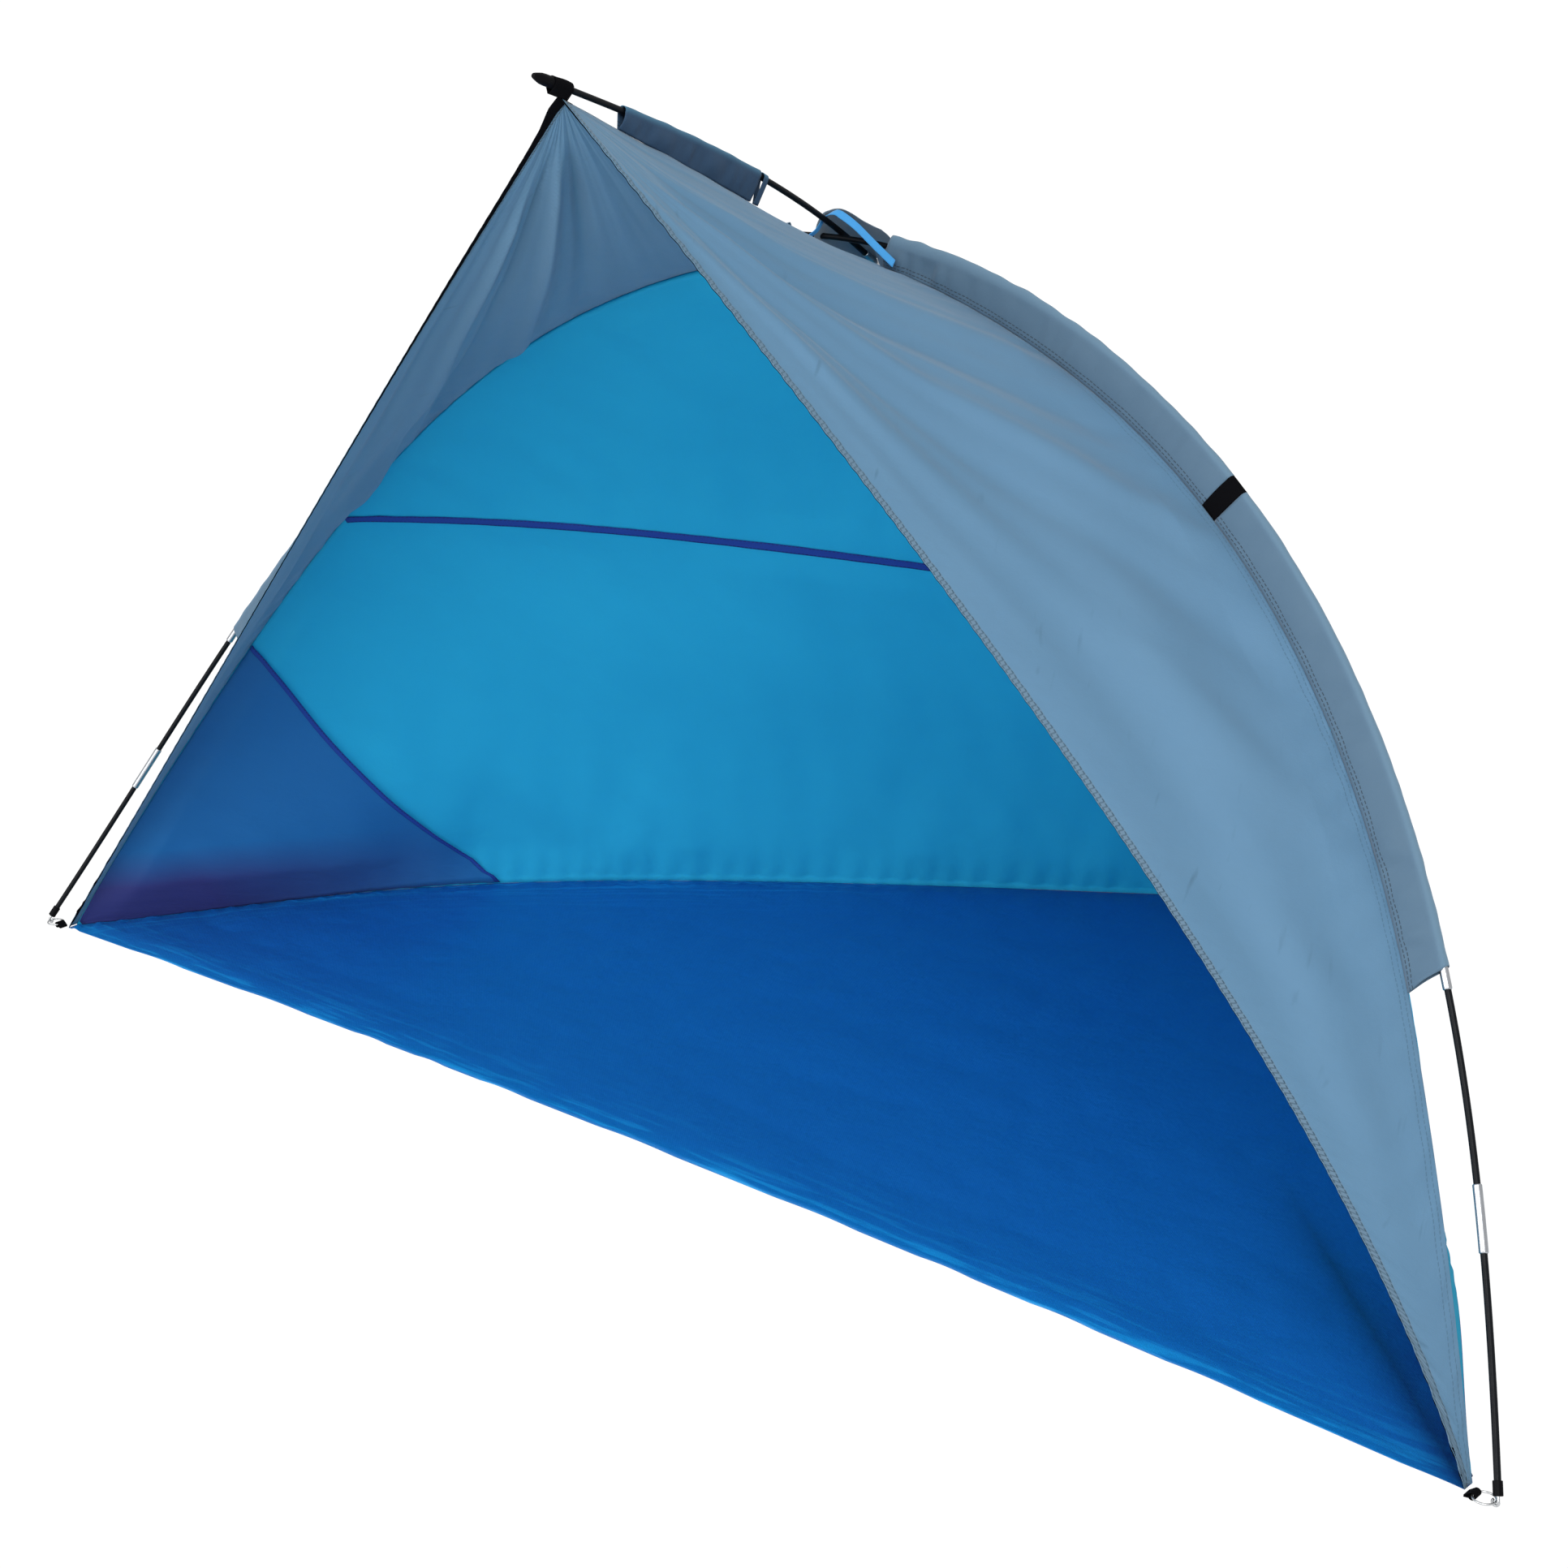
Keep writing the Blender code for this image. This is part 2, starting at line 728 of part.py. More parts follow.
def build_canopy(arch, ridge, seam_points, finishes, parts, frame):
    """Both side panels, with the tapes inside their front hems."""
    seam = Route(seam_points)
    count = len(seam_points) - 1
    apex = apex_point(ridge)
    hem_dense = even_steps([front_hem(apex, k / dense_samples)
                            for k in range(dense_samples + 1)], count)

    def point(across, row):
        share = row / count
        left = hem_dense.points[row]
        right = seam.points[row]
        top = ridge_seam(apex, across)
        straight_top = ridge_seam(apex, 0.0).lerp(ridge_seam(apex, 1.0), across)
        sheet = left.lerp(right, across) + (top - straight_top) * (1 - share)
        fold = math.sin(math.pi * (front_fold_count * across + front_fold_drift * share))
        fold *= math.sin(math.pi * across)
        swell = fold * math.sin(math.pi * min(1.0, share / front_fold_length_share)) * front_fold
        return sheet + front_fold_way * swell

    for side, word in ((1, "right"), (-1, "left")):
        rows = []
        for row in range(count + 1):
            line = [point(k / panel_columns, row) for k in range(panel_columns + 1)]
            line[-1] = line[-1] + (line[-2] - line[-1]).normalized() * seam_gap
            if row == 0:
                line = [p + Vector((seam_gap, 0, 0)) for p in line]
            rows.append(line)
        loft("side_panel_" + word, rows, cloth, finishes["canopy"], parts, frame, side=side)
        strip = []
        for row, line in enumerate(rows):
            taper = min(hem_dense.marks[row] / hem_tape_taper, 1.0)
            width = hem_tape_width + (hem_tape_low_width - hem_tape_width) * taper
            room = (line[1] - line[0]).length
            inner = line[0].lerp(line[1], min(width / room, 1.0))
            before, after = rows[max(row - 1, 0)][0], rows[min(row + 1, count)][0]
            normal = (after - before).cross(line[1] - line[0]).normalized()
            if normal.x > 0:
                normal = -normal
            shift = normal * (cloth / 2 + 2 * clearance + tape_cloth / 2)
            strip.append([line[0] + shift, inner + shift])
        loft("hem_tape_" + word, strip[1:], tape_cloth, finishes["webbing"], parts, frame,
             side=side)


def build_shell():
    """Every piece of the tent."""
    parts = collection("beach_tent")
    cutters = collection("cutters")
    finishes = {
        "canopy": material("grey_canopy_cloth", (0.16, 0.27, 0.40), 0.75),
        "wall": material("blue_wall_cloth", (0.03, 0.25, 0.55), 0.7),
        "sheet": material("dark_blue_ground_sheet", (0.01, 0.08, 0.36), 0.4),
        "tape": material("navy_tape", (0.02, 0.04, 0.27), 0.8),
        "webbing": material("black_webbing", (0.012, 0.012, 0.014), 0.85),
        "tie": material("light_blue_webbing", (0.08, 0.40, 0.83), 0.7),
        "fibreglass": material("black_fibreglass", (0.012, 0.014, 0.018), 0.35),
        "elastic": material("white_elastic", (0.75, 0.75, 0.72), 0.8),
        "moulding": material("black_moulding", (0.012, 0.012, 0.013), 0.45),
        "steel": material("zinc_steel", (0.60, 0.60, 0.60), 0.3, 1.0),
    }
    frame = bpy.data.objects.new("tent_frame", None)
    parts.objects.link(frame)
    frame.location = (0, -origin_setback, 0)

    arch = even_steps(arch_points(), arch_sections * steps_per_section)
    ridge = even_steps(ridge_points(), ridge_sections * steps_per_section)
    build_poles(arch, ridge, finishes, parts, cutters, frame)
    feet = (("left", arch.at(0.0), arch.along(0.0), Vector((1, 0, 0))),
            ("right", arch.at(arch.length), -arch.along(arch.length), Vector((-1, 0, 0))),
            ("rear", ridge.at(ridge.length), -ridge.along(ridge.length), Vector((0, -1, 0))))
    for name, pole_end, into_pole, towards in feet:
        build_foot(name, pole_end, into_pole, towards, finishes, parts, frame)
    build_cap(ridge, finishes, parts, cutters, frame)
    build_cloth(arch, ridge, finishes, parts, frame)


def build_cloth(arch, ridge, finishes, parts, frame):
    """The shell, its sleeves, bands, tapes, pockets and ground sheet."""
    half = arch.length / 2
    marks = [half - m for m in arch.stations(half, arch.length - sleeve_foot)]
    marks = [half + m for m in marks]
    seam_points = [arch_seam(arch, m) for m in marks]
    last = seam_points[-1]
    corner = Vector((corner_half_span, rear_edge_end_y, wall_foot_z))
    for k in range(1, low_stations + 1):
        share = k / low_stations
        outward = Vector((rear_edge_bow * 4 * share * (1 - share), 0, 0))
        seam_points.append(last.lerp(corner, share) + outward)
    build_canopy(arch, ridge, seam_points, finishes, parts, frame)
    build_wall(ridge, seam_points, finishes, parts, frame)
    build_floor(finishes, parts, frame)
    build_sleeves(arch, ridge, finishes, parts, frame)


def build_wall(ridge, seam_points, finishes, parts, frame):
    """Upper and lower back panels, the tape over their joint, and the corner pockets."""
    seam = Route(seam_points)
    edge = even_steps([floor_edge(k / dense_samples) for k in range(dense_samples + 1)],
                      dense_samples)
    rear = [ridge_line(ridge, m) for m in ridge.stations(ridge_crossing(ridge), ridge.length)]
    rear = [p for p in rear if p.z > wall_foot_z]
    rear.append(Vector((0, floor_depth - seam_gap, wall_foot_z)))
    rear[0] = seam_points[0].copy()
    rear = Route(list(reversed(rear)))
    lift = Vector((0, 0, wall_foot_z))

    def bottom(across):
        return edge.at(edge.length * across) + lift

    def top(across):
        return seam.at(seam.length * across)

    def left(up):
        return rear.at(rear.length * up)

    def right(up):
        return bottom(1.0).lerp(top(1.0), up)

    def wall(across, up):
        point = coons(bottom, top, left, right, across, up)
        ripple = math.sin(math.pi * (back_fold_count * across + back_fold_drift * up))
        swell = ripple * math.sin(math.pi * across) * math.sin(math.pi * up) * back_fold
        return point + back_fold_way * swell

    shares = [m / seam.length for m in seam.marks]
    shares[-1] = 1 - corner_clearance / seam.length
    side_share = next(s for s in shares if top(s).z < tape_seam_side_z)
    tape_end = top(side_share)

    def split(across):
        """How far up the wall the joint lies: its height changes evenly across the tent."""
        if across >= side_share:
            return 1.0
        low, high = 0.0, 1.0
        for _ in range(20):
            level = (low + high) / 2
            point = wall(across, level)
            if point.z < tape_rear_z + (tape_end.z - tape_rear_z) * point.x / tape_end.x:
                low = level
            else:
                high = level
        return (low + high) / 2

    inset = seam_gap
    lower, upper = [], []
    for across in shares:
        level = split(across)
        line = [wall(across, level * k / wall_rows) for k in range(wall_rows + 1)]
        line[0] = line[0] + (line[1] - line[0]).normalized() * inset
        line[-1] = line[-1] + (line[-2] - line[-1]).normalized() * inset
        if across == 0:
            line = [Vector((0, p.y, p.z)) for p in line]
        lower.append(line)
        if across < side_share - clearance:
            line = [wall(across, level + (1 - level) * k / wall_rows)
                    for k in range(wall_rows + 1)]
            line[0] = line[0] + (line[1] - line[0]).normalized() * inset
            line[-1] = line[-1] + (line[-2] - line[-1]).normalized() * inset
            if across == 0:
                line = [Vector((0, p.y, p.z)) for p in line]
            upper.append(line)
    corner_column = [p.lerp(wall(side_share, 1.0), corner_fill_share) for p in upper[-1]]
    upper.append(corner_column)
    loft("back_panel_lower", lower, cloth, finishes["wall"], parts, frame, mirrored=True)
    loft("back_panel_upper", upper, cloth, finishes["wall"], parts, frame, mirrored=True)

    def inner_normal(grid, column, row):
        here = grid_point(grid, column, row)
        ahead, behind = min(column + normal_share, len(grid) - 1.0), max(column - normal_share, 0.0)
        above, below = min(row + normal_share, len(grid[0]) - 1.0), max(row - normal_share, 0.0)
        a = grid_point(grid, ahead, row) - grid_point(grid, behind, row)
        b = grid_point(grid, column, above) - grid_point(grid, column, below)
        normal = a.cross(b).normalized()
        return normal if normal.dot(Vector((0, arch_lean, 0)) - here) > 0 else -normal

    strip = []
    shift = cloth / 2 + clearance + tape_cloth / 2
    for column in range(len(upper) - 1):
        low, high = lower[column], upper[column]
        reach = seam_tape_width / 2
        under = low[-1] + (low[-2] - low[-1]).normalized() * reach
        over = high[0] + (high[1] - high[0]).normalized() * reach
        low_normal = inner_normal(lower, column, wall_rows)
        high_normal = inner_normal(upper, column, 0)
        middle = (low[-1] + high[0]) / 2 + (low_normal + high_normal).normalized() * shift
        line = [under + low_normal * shift, middle, over + high_normal * shift]
        if column == 0:
            line = [Vector((0, p.y, p.z)) for p in line]
        strip.append(line)
    loft("back_seam_tape", strip, tape_cloth, finishes["tape"], parts, frame, mirrored=True)

    columns = len(lower) - 1
    pocket_floor_x = corner_half_span - pocket_length
    floor_start = next(k for k, line in enumerate(lower) if line[0].x > pocket_floor_x)
    before, after = lower[floor_start - 1][0].x, lower[floor_start][0].x
    floor_start += (pocket_floor_x - before) / (after - before) - 1
    seam_start = columns - low_stations - pocket_rise_share
    for side, word in ((1, "right"), (-1, "left")):
        rows = []
        for k in range(pocket_rows + 1):
            up = k / pocket_rows
            start = floor_start + (seam_start - floor_start) * up
            start += pocket_sag_share * columns * 4 * up * (1 - up) * (1 - up)
            line = []
            for j in range(pocket_columns + 1):
                column = start + (columns - pocket_margin_share - start) * j / pocket_columns
                row = (pocket_margin_share + (1 - 2 * pocket_margin_share) * up) * wall_rows
                fullness = math.sin(math.pi * up) * (1 - j / pocket_columns)
                away = pocket_standoff + pocket_fullness * fullness
                line.append(grid_point(lower, column, row)
                            + inner_normal(lower, column, row) * away)
            rows.append(line)
        loft("corner_pocket_" + word, rows, cloth, finishes["sheet"], parts, frame, side=side)


def grid_point(grid, column, row):
    """A point on the facets of a grid, at fractional column and row numbers."""
    i, j = min(int(column), len(grid) - 2), min(int(row), len(grid[0]) - 2)
    u, v = column - i, row - j
    return grid[i][j].lerp(grid[i + 1][j], u).lerp(grid[i][j + 1].lerp(grid[i + 1][j + 1], u), v)


def ridge_crossing(ridge):
    """Distance along the ridge pole at which it lies on the arch pole."""
    for k, (a, b) in enumerate(zip(ridge.points, ridge.points[1:])):
        if a.y <= arch_lean < b.y:
            share = (arch_lean - a.y) / (b.y - a.y)
            return ridge.marks[k] + share * (b - a).length
    return ridge.length / 2


def build_floor(finishes, parts, frame):
    """Ground sheet with an ear at each corner for the webbing tabs."""
    half = []
    for k in range(floor_front_steps + 1):
        share = k / floor_front_steps
        y = hem_end_y + floor_front_bow * (1 - share ** 2)
        half.append(Vector((corner_half_span * share, y)))
    tip = corner_half_span + ear_length
    half += [Vector((tip, -ear_half_width)), Vector((tip, ear_half_width))]
    for k in range(floor_edge_steps + 1):
        point = floor_edge(1 - k / floor_edge_steps)
        if point.x > ear_half_width:
            half.append(Vector((point.x, point.y)))
    half.append(Vector((ear_half_width, floor_depth - clearance)))
    half.append(Vector((ear_half_width, floor_depth + ear_length)))
    outline = half + [Vector((-p.x, p.y)) for p in reversed(half[1:])]
    curve = bpy.data.curves.new("ground_sheet", "CURVE")
    curve.dimensions = "2D"
    curve.fill_mode = "BOTH"
    curve.extrude = floor_sheet / 2
    spline = curve.splines.new("POLY")
    spline.points.add(len(outline) - 1)
    for slot, point in zip(spline.points, outline):
        slot.co = (point.x, point.y, 0, 1)
    spline.use_cyclic_u = True
    sheet = add_object("ground_sheet", curve, parts, frame)
    sheet.location = (0, 0, floor_sheet / 2)
    curve.materials.append(finishes["sheet"])


def build_sleeves(arch, ridge, finishes, parts, frame):
    """Sleeves round both poles, the bands between them, the hood and its tie."""
    half = arch.length / 2
    runs = (("arch_sleeve_lower", sleeve_foot, band_start - leg_gap, "canopy"),
            ("gap_band", band_start, band_start + band_width, "webbing"),
            ("arch_sleeve_upper", band_start + band_width + leg_gap, half - crown_mouth, "canopy"))
    for word, side in (("right", 1), ("left", -1)):
        for name, low, high, finish in runs:
            marks = arch.stations(arch.length - high, arch.length - low)
            centres = [arch.at(m) for m in marks]
            seams = [arch_seam(arch, arch.length - m) for m in marks]
            fullness = [crown_fullness * max(0, 1 - abs(m - half) / fullness_reach) for m in marks]
            wrap(name + "_" + word, centres, seams, ferrule_radius + clearance, sleeve_cloth,
                 stand_off=seam_gap, finish=finishes[finish], parts=parts, parent=frame, side=side,
                 fullness=fullness)

    apex = apex_point(ridge)
    seam = Route([ridge_seam(apex, k / dense_samples) for k in range(dense_samples + 1)])

    def ridge_foot(point, along):
        for a, b in zip(seam.points, seam.points[1:]):
            behind, ahead = (a - point).dot(along), (b - point).dot(along)
            if behind <= 0 < ahead:
                return a.lerp(b, -behind / (ahead - behind))
        return seam.points[0]

    def ridge_band(name, start, end, radius, thickness, finish, stand_off):
        marks = ridge.stations(start, end)
        centres = [ridge.at(m) for m in marks]
        feet = [ridge_foot(c, ridge.along(m)) for c, m in zip(centres, marks)]
        wrap(name, centres, feet, radius, thickness, stand_off, finish, parts, frame)

    snug = ferrule_radius + clearance
    ridge_stand_off = cloth / 2 + 2 * clearance
    ridge_band("front_ridge_sleeve", front_sleeve_start, front_sleeve_end, snug,
               sleeve_cloth, finishes["canopy"], ridge_stand_off)
    ridge_band("ridge_strap", ridge_strap_start, ridge_strap_start + ridge_strap_width,
               snug, sleeve_cloth, finishes["canopy"], clearance)
    ridge_band("apex_band", apex_band_start, apex_band_start + apex_band_width,
               cap_radius + clearance, apex_band_cloth, finishes["webbing"], ridge_stand_off)

    marks = ridge.stations(rear_sleeve_start, ridge.length - rear_sleeve_foot)
    centres = [ridge.at(m) for m in marks]
    feet = [ridge_line(ridge, m) for m in marks]
    wrap("rear_ridge_sleeve", centres, feet, snug, sleeve_cloth, ridge_stand_off,
         finishes["canopy"], parts, frame)

    rows = []
    for row in range(hood_rows + 1):
        share = row / hood_rows
        y = arch_lean - hood_ahead + (hood_ahead + hood_behind) * share
        line = []
        for (lip_x, lip), (foot_x, foot) in zip(hood_lip_share, hood_foot_share):
            x = (lip_x + (foot_x - lip_x) * share) * hood_reach
            lift = lip * hood_rise * (1 - share ** 2) + foot * hood_fall * share ** 2
            line.append(Vector((x, y, ridge_level(ridge, y) + lift)))
        rows.append(line)
    loft("crossing_hood", rows, sleeve_cloth, finishes["canopy"], parts, frame)

    half_tie = ridge.along(ridge_crossing(ridge)) * (tie_width / 2)
    rows = []
    for across, behind, rise in tie_line_share:
        y = arch_lean + behind * tie_setback
        level = ridge_level(ridge, y) + rise * tie_drop
        point = Vector((across * tie_reach, y, level))
        rows.append([point - half_tie, point + half_tie])
    loft("crossing_tie", rows, tie_cloth, finishes["tie"], parts, frame)


def ridge_level(ridge, y):
    """Height of the ridge pole's axis at a distance back from the feet."""
    for a, b in zip(ridge.points, ridge.points[1:]):
        if a.y <= y < b.y:
            return a.z + (b.z - a.z) * (y - a.y) / (b.y - a.y)
    return ridge.points[-1].z


clear_scene()
build_shell()
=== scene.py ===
import math

import bpy
import numpy as np
from mathutils import Matrix, Vector

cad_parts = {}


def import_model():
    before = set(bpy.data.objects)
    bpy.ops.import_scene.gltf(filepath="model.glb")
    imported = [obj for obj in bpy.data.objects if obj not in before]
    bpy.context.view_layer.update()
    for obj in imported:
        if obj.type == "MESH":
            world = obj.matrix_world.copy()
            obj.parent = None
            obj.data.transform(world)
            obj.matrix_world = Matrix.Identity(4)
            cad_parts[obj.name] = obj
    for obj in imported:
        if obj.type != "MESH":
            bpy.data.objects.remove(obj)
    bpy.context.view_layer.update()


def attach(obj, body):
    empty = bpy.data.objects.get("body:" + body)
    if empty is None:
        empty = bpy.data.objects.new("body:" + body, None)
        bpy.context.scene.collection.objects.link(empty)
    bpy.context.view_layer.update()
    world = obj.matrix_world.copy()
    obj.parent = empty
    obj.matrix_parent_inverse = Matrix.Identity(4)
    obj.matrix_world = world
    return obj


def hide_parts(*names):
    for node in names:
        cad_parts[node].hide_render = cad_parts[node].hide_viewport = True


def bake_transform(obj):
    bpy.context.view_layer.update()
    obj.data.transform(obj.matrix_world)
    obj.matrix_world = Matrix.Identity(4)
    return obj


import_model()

# Sizes, in metres: y is measured from the line between the front feet, and SETBACK moves the
# tent so that the origin lies under the middle of the ground sheet.
SETBACK = 0.45
HALF_SPAN = 1.100
FOOT_LIFT = 0.012
ARCH_HEIGHT = 1.0345
ARCH_LEAN = 0.359
ARCH_BOW = 0.050
REAR_FOOT_Y = 1.187
RIDGE_FRONT = (-0.132, 1.2440)
CROSSING_GAP = 0.0013
APEX = np.array([0, -0.100, 1.2215])

# Poles
POLE_R = 0.0035
FERRULE_R = 0.0047
FERRULE_L = 0.066
ARCH_SECTIONS = 13
RIDGE_SECTIONS = 6
SECTION_GAP = 0.00015
CORD_R = 0.0011
CORD_END = 0.055

# Cloth: a hem or seam bow is how far its middle stands off a straight line
CLOTH = 0.0005
THICK_CLOTH = 0.0008
FLOOR_TOP = 0.0012
WALL_FOOT = 0.0027
CORNER_X = 1.066
CORNER_Y = 0.016
HEM_END_Y = 0.002
HEM_BOW = np.array([0.060, 0.055, -0.0085])
HEM_BOW_CHANGE = np.array([0.053, 0.032, -0.042])
RIDGE_SEAM_BOW = np.array([0, 0, 0.001])
LOW_SEAM_BOW = 0.006
FLOOR_DEPTH = 1.152
SLEEVE_FOOT = 0.483
BAND_START = 1.037
BAND_WIDTH = 0.023
CROWN_MOUTH = 0.075
SEAM_AT_CROWN = 0.0165
SEAM_AT_SIDE = 0.040
SEAM_REACH = 0.42
REAR_SEAM = 0.030
TAPE_SEAM_Z = 0.600
TAPE_REAR_Z = 0.526
CROWN = np.array([0, ARCH_LEAN, ARCH_HEIGHT - SEAM_AT_CROWN])

# Directions
X, Y = np.array([1.0, 0, 0]), np.array([0, 1.0, 0])
MIRROR = np.array([-1, 1, 1])
OUTWARD = np.array([0.62, -0.70, 0.35])
INSIDE = np.array([0, ARCH_LEAN, 0.2])


# Curves

def world(P):
    return np.asarray(P, float) - Y * SETBACK


def lengths(points):
    return np.concatenate([[0], np.cumsum(np.linalg.norm(np.diff(points, axis=0), axis=1))])


def unit(v):
    return v / np.linalg.norm(v, axis=-1, keepdims=True)


class Route:
    """A dense curve, read at distances along it."""

    def __init__(self, points):
        self.p = np.asarray(points, float)
        self.s = lengths(self.p)
        self.length = self.s[-1]

    def at(self, s):
        s = np.atleast_1d(s)
        return np.stack([np.interp(s, self.s, self.p[:, k]) for k in range(3)], axis=1)

    def along(self, s, reach=0.004):
        s = np.atleast_1d(s)
        return unit(self.at(np.minimum(s + reach, self.length)) - self.at(np.maximum(s - reach, 0)))

    def share(self, t):
        """Points at shares of the length."""
        return self.at(self.length * np.atleast_1d(t))


def smooth_through(points, per=12):
    """A Catmull-Rom curve through points."""
    p = np.asarray(points, float)
    p = np.vstack([2 * p[0] - p[1], p, 2 * p[-1] - p[-2]])
    out = []
    for i in range(1, len(p) - 2):
        for t in np.linspace(0, 1, per, endpoint=False):
            a, b, c, d = p[i - 1], p[i], p[i + 1], p[i + 2]
            out.append(0.5 * ((2 * b) + (c - a) * t + (2 * a - 5 * b + 4 * c - d) * t * t
                              + (3 * b - a - 3 * c + d) * t ** 3))
    out.append(p[-2])
    return np.array(out)


def arch_route():
    """The arch pole: a rod bent evenly from two feet, leaning back and bowed."""
    rise = ARCH_HEIGHT - FOOT_LIFT
    n = 400
    k = (np.arange(n) + 0.5) / n
    low, high = 0.0, math.pi / 2
    for _ in range(50):
        foot = (low + high) / 2
        a = foot * np.cos(math.pi / 2 * k)
        if np.sin(a).sum() / np.cos(a).sum() < rise / HALF_SPAN:
            low = foot
        else:
            high = foot
    x = np.concatenate([[0], np.cumsum(np.cos(a))]) / n
    z = np.concatenate([[0], np.cumsum(np.sin(a))]) / n
    scale = HALF_SPAN / x[-1]
    h = z * scale / rise
    left = np.stack([x * scale - HALF_SPAN, ARCH_LEAN * h + ARCH_BOW * 4 * h * (1 - h),
                     FOOT_LIFT + z * scale], axis=1)
    return Route(np.vstack([left, left[-2::-1] * MIRROR]))


def ridge_route():
    """The ridge pole: it lies on the arch pole and bends on both sides of the crossing."""
    n = 400
    k = (np.arange(n) + 0.5) / n
    bend = 2 * k - k ** 2

    def turned_by(turn):
        return np.cos(turn * bend).sum() / n, np.sin(turn * bend).sum() / n

    crossing = np.array([0, ARCH_LEAN, ARCH_HEIGHT + 2 * POLE_R + CROSSING_GAP])
    front = np.array([0, *RIDGE_FRONT])
    foot = np.array([0, REAR_FOOT_Y, FOOT_LIFT])
    fc, rc = crossing - front, foot - crossing
    front_angle, rear_angle = math.atan2(-fc[2], fc[1]), math.atan2(-rc[2], rc[1])
    low, high = 0.0, math.pi / 2
    for _ in range(50):
        rear_turn = (low + high) / 2
        ry, rz = turned_by(rear_turn)
        rear_length = np.linalg.norm(rc) / math.hypot(ry, rz)
        front_turn = rear_turn * np.linalg.norm(fc) / rear_length
        fy, fz = turned_by(front_turn)
        if math.atan2(rz, ry) + math.atan2(fz, fy) < rear_angle - front_angle:
            low = rear_turn
        else:
            high = rear_turn
    front_length = np.linalg.norm(fc) / math.hypot(fy, fz)
    slope = rear_angle - math.atan2(rz, ry)

    def arm(length, turn, sign):
        a = slope + sign * turn * bend
        step = np.stack([0 * a, np.cos(a), -np.sin(a)], axis=1) * (length / n * sign)
        return crossing + np.cumsum(step, axis=0)

    return Route(np.vstack([arm(front_length, front_turn, -1)[::-1], crossing[None],
                            arm(rear_length, rear_turn, 1)]))


arch = arch_route()
ridge = ridge_route()


def beside(route, s, aim, depth):
    """Points beside a pole, a depth away from it towards a place."""
    p, t = route.at(s), route.along(s)
    across = aim - p
    return p + unit(across - t * (across * t).sum(1, keepdims=True)) * depth


def arch_seam(distance):
    """The sewn line beside the arch pole, by distance from the right foot."""
    distance = np.atleast_1d(distance)
    share = np.minimum(np.abs(arch.length / 2 - distance) / SEAM_REACH, 1.0)
    depth = SEAM_AT_CROWN + (SEAM_AT_SIDE - SEAM_AT_CROWN) * (2 * share - share ** 2)
    aim = np.array([0, ARCH_LEAN, ARCH_HEIGHT]) / 3
    return beside(arch, arch.length - distance, aim, depth[:, None])


def ridge_height(y):
    return np.interp(y, ridge.p[:, 1], ridge.p[:, 2])


def rear_ridge_seam(s):
    return beside(ridge, s, np.array([0, ARCH_LEAN, 0]), REAR_SEAM)


def floor_edge(t):
    """The right half of the floor's rear edge, a Bezier curve from the middle to the corner."""
    t = np.atleast_1d(t)[:, None]
    r = 1 - t
    full = np.array([CORNER_X, FLOOR_DEPTH, 0])
    near_rear, near_corner = np.array([0.8189, 0.4560, 0]), np.array([0.7724, 0.3720, 0])
    return (full * Y * r ** 3 + full * near_rear * 3 * r ** 2 * t
            + full * near_corner * 3 * r * t ** 2 + np.array([CORNER_X, CORNER_Y, 0]) * t ** 3)


def ridge_seam(t):
    t = np.atleast_1d(t)[:, None]
    return APEX + (CROWN - APEX) * t + RIDGE_SEAM_BOW * 4 * t * (1 - t)


def front_hem(t):
    t = np.atleast_1d(t)[:, None]
    end = np.array([CORNER_X, HEM_END_Y, WALL_FOOT])
    bow = HEM_BOW + HEM_BOW_CHANGE * (2 * t - 1)
    return APEX + (end - APEX) * t + bow * 4 * t * (1 - t)


def side_seam():
    """The seam from the crown down to the corner, and the last point of it beside the pole."""
    upper = arch_seam(np.linspace(arch.length / 2, SLEEVE_FOOT, 19))
    t = np.linspace(0, 1, 7)[1:, None]
    low = upper[-1] + (corner - upper[-1]) * t + X * LOW_SEAM_BOW * 4 * t * (1 - t)
    return Route(smooth_through(np.vstack([upper, low]), 10)), upper[-1]


corner = np.array([CORNER_X, CORNER_Y, WALL_FOOT])
seam, seam_leaves_pole = side_seam()
hem = Route(front_hem(np.linspace(0, 1, 400)))
edge = Route(floor_edge(np.linspace(0, 1, 400)))


# Relief

def waves(u, v, seed, size):
    """Smooth random undulation, about -1 to 1, with features of a given size."""
    r = np.random.default_rng(seed)
    count = 14
    total = np.zeros_like(u)
    for _ in range(count):
        turn, phase = r.uniform(0, 2 * math.pi, 2)
        k = 2 * math.pi / size * r.uniform(0.55, 1.35)
        total += np.cos(k * (u * math.cos(turn) + v * math.sin(turn)) + phase)
    return total / math.sqrt(count)


def puckers(along, pitch, wander, seed, size):
    """Gathers along a seam, at a pitch that wanders."""
    return np.sin(2 * math.pi * along / pitch + wander * waves(along, 0, seed, size))


def ramp(value, width):
    """0 to 1 over a width."""
    return np.clip(value / width, 0, 1)


def hump(value, width):
    """1 at zero, fading on both sides over a width."""
    return np.exp(-(value / width) ** 2)


def normals(P):
    return unit(np.cross(np.gradient(P, axis=1), np.gradient(P, axis=0)) + 1e-12)


def outer_normals(P):
    """Normals of the right side panel that point out of the tent."""
    N = normals(P)
    return -N if N[P.shape[0] // 2, P.shape[1] // 2] @ OUTWARD < 0 else N


def inner_normals(P):
    """Normals of a piece of the back that point into the tent."""
    N = normals(P)
    return N * np.sign((N * (INSIDE - P)).sum(-1, keepdims=True))


# Meshes

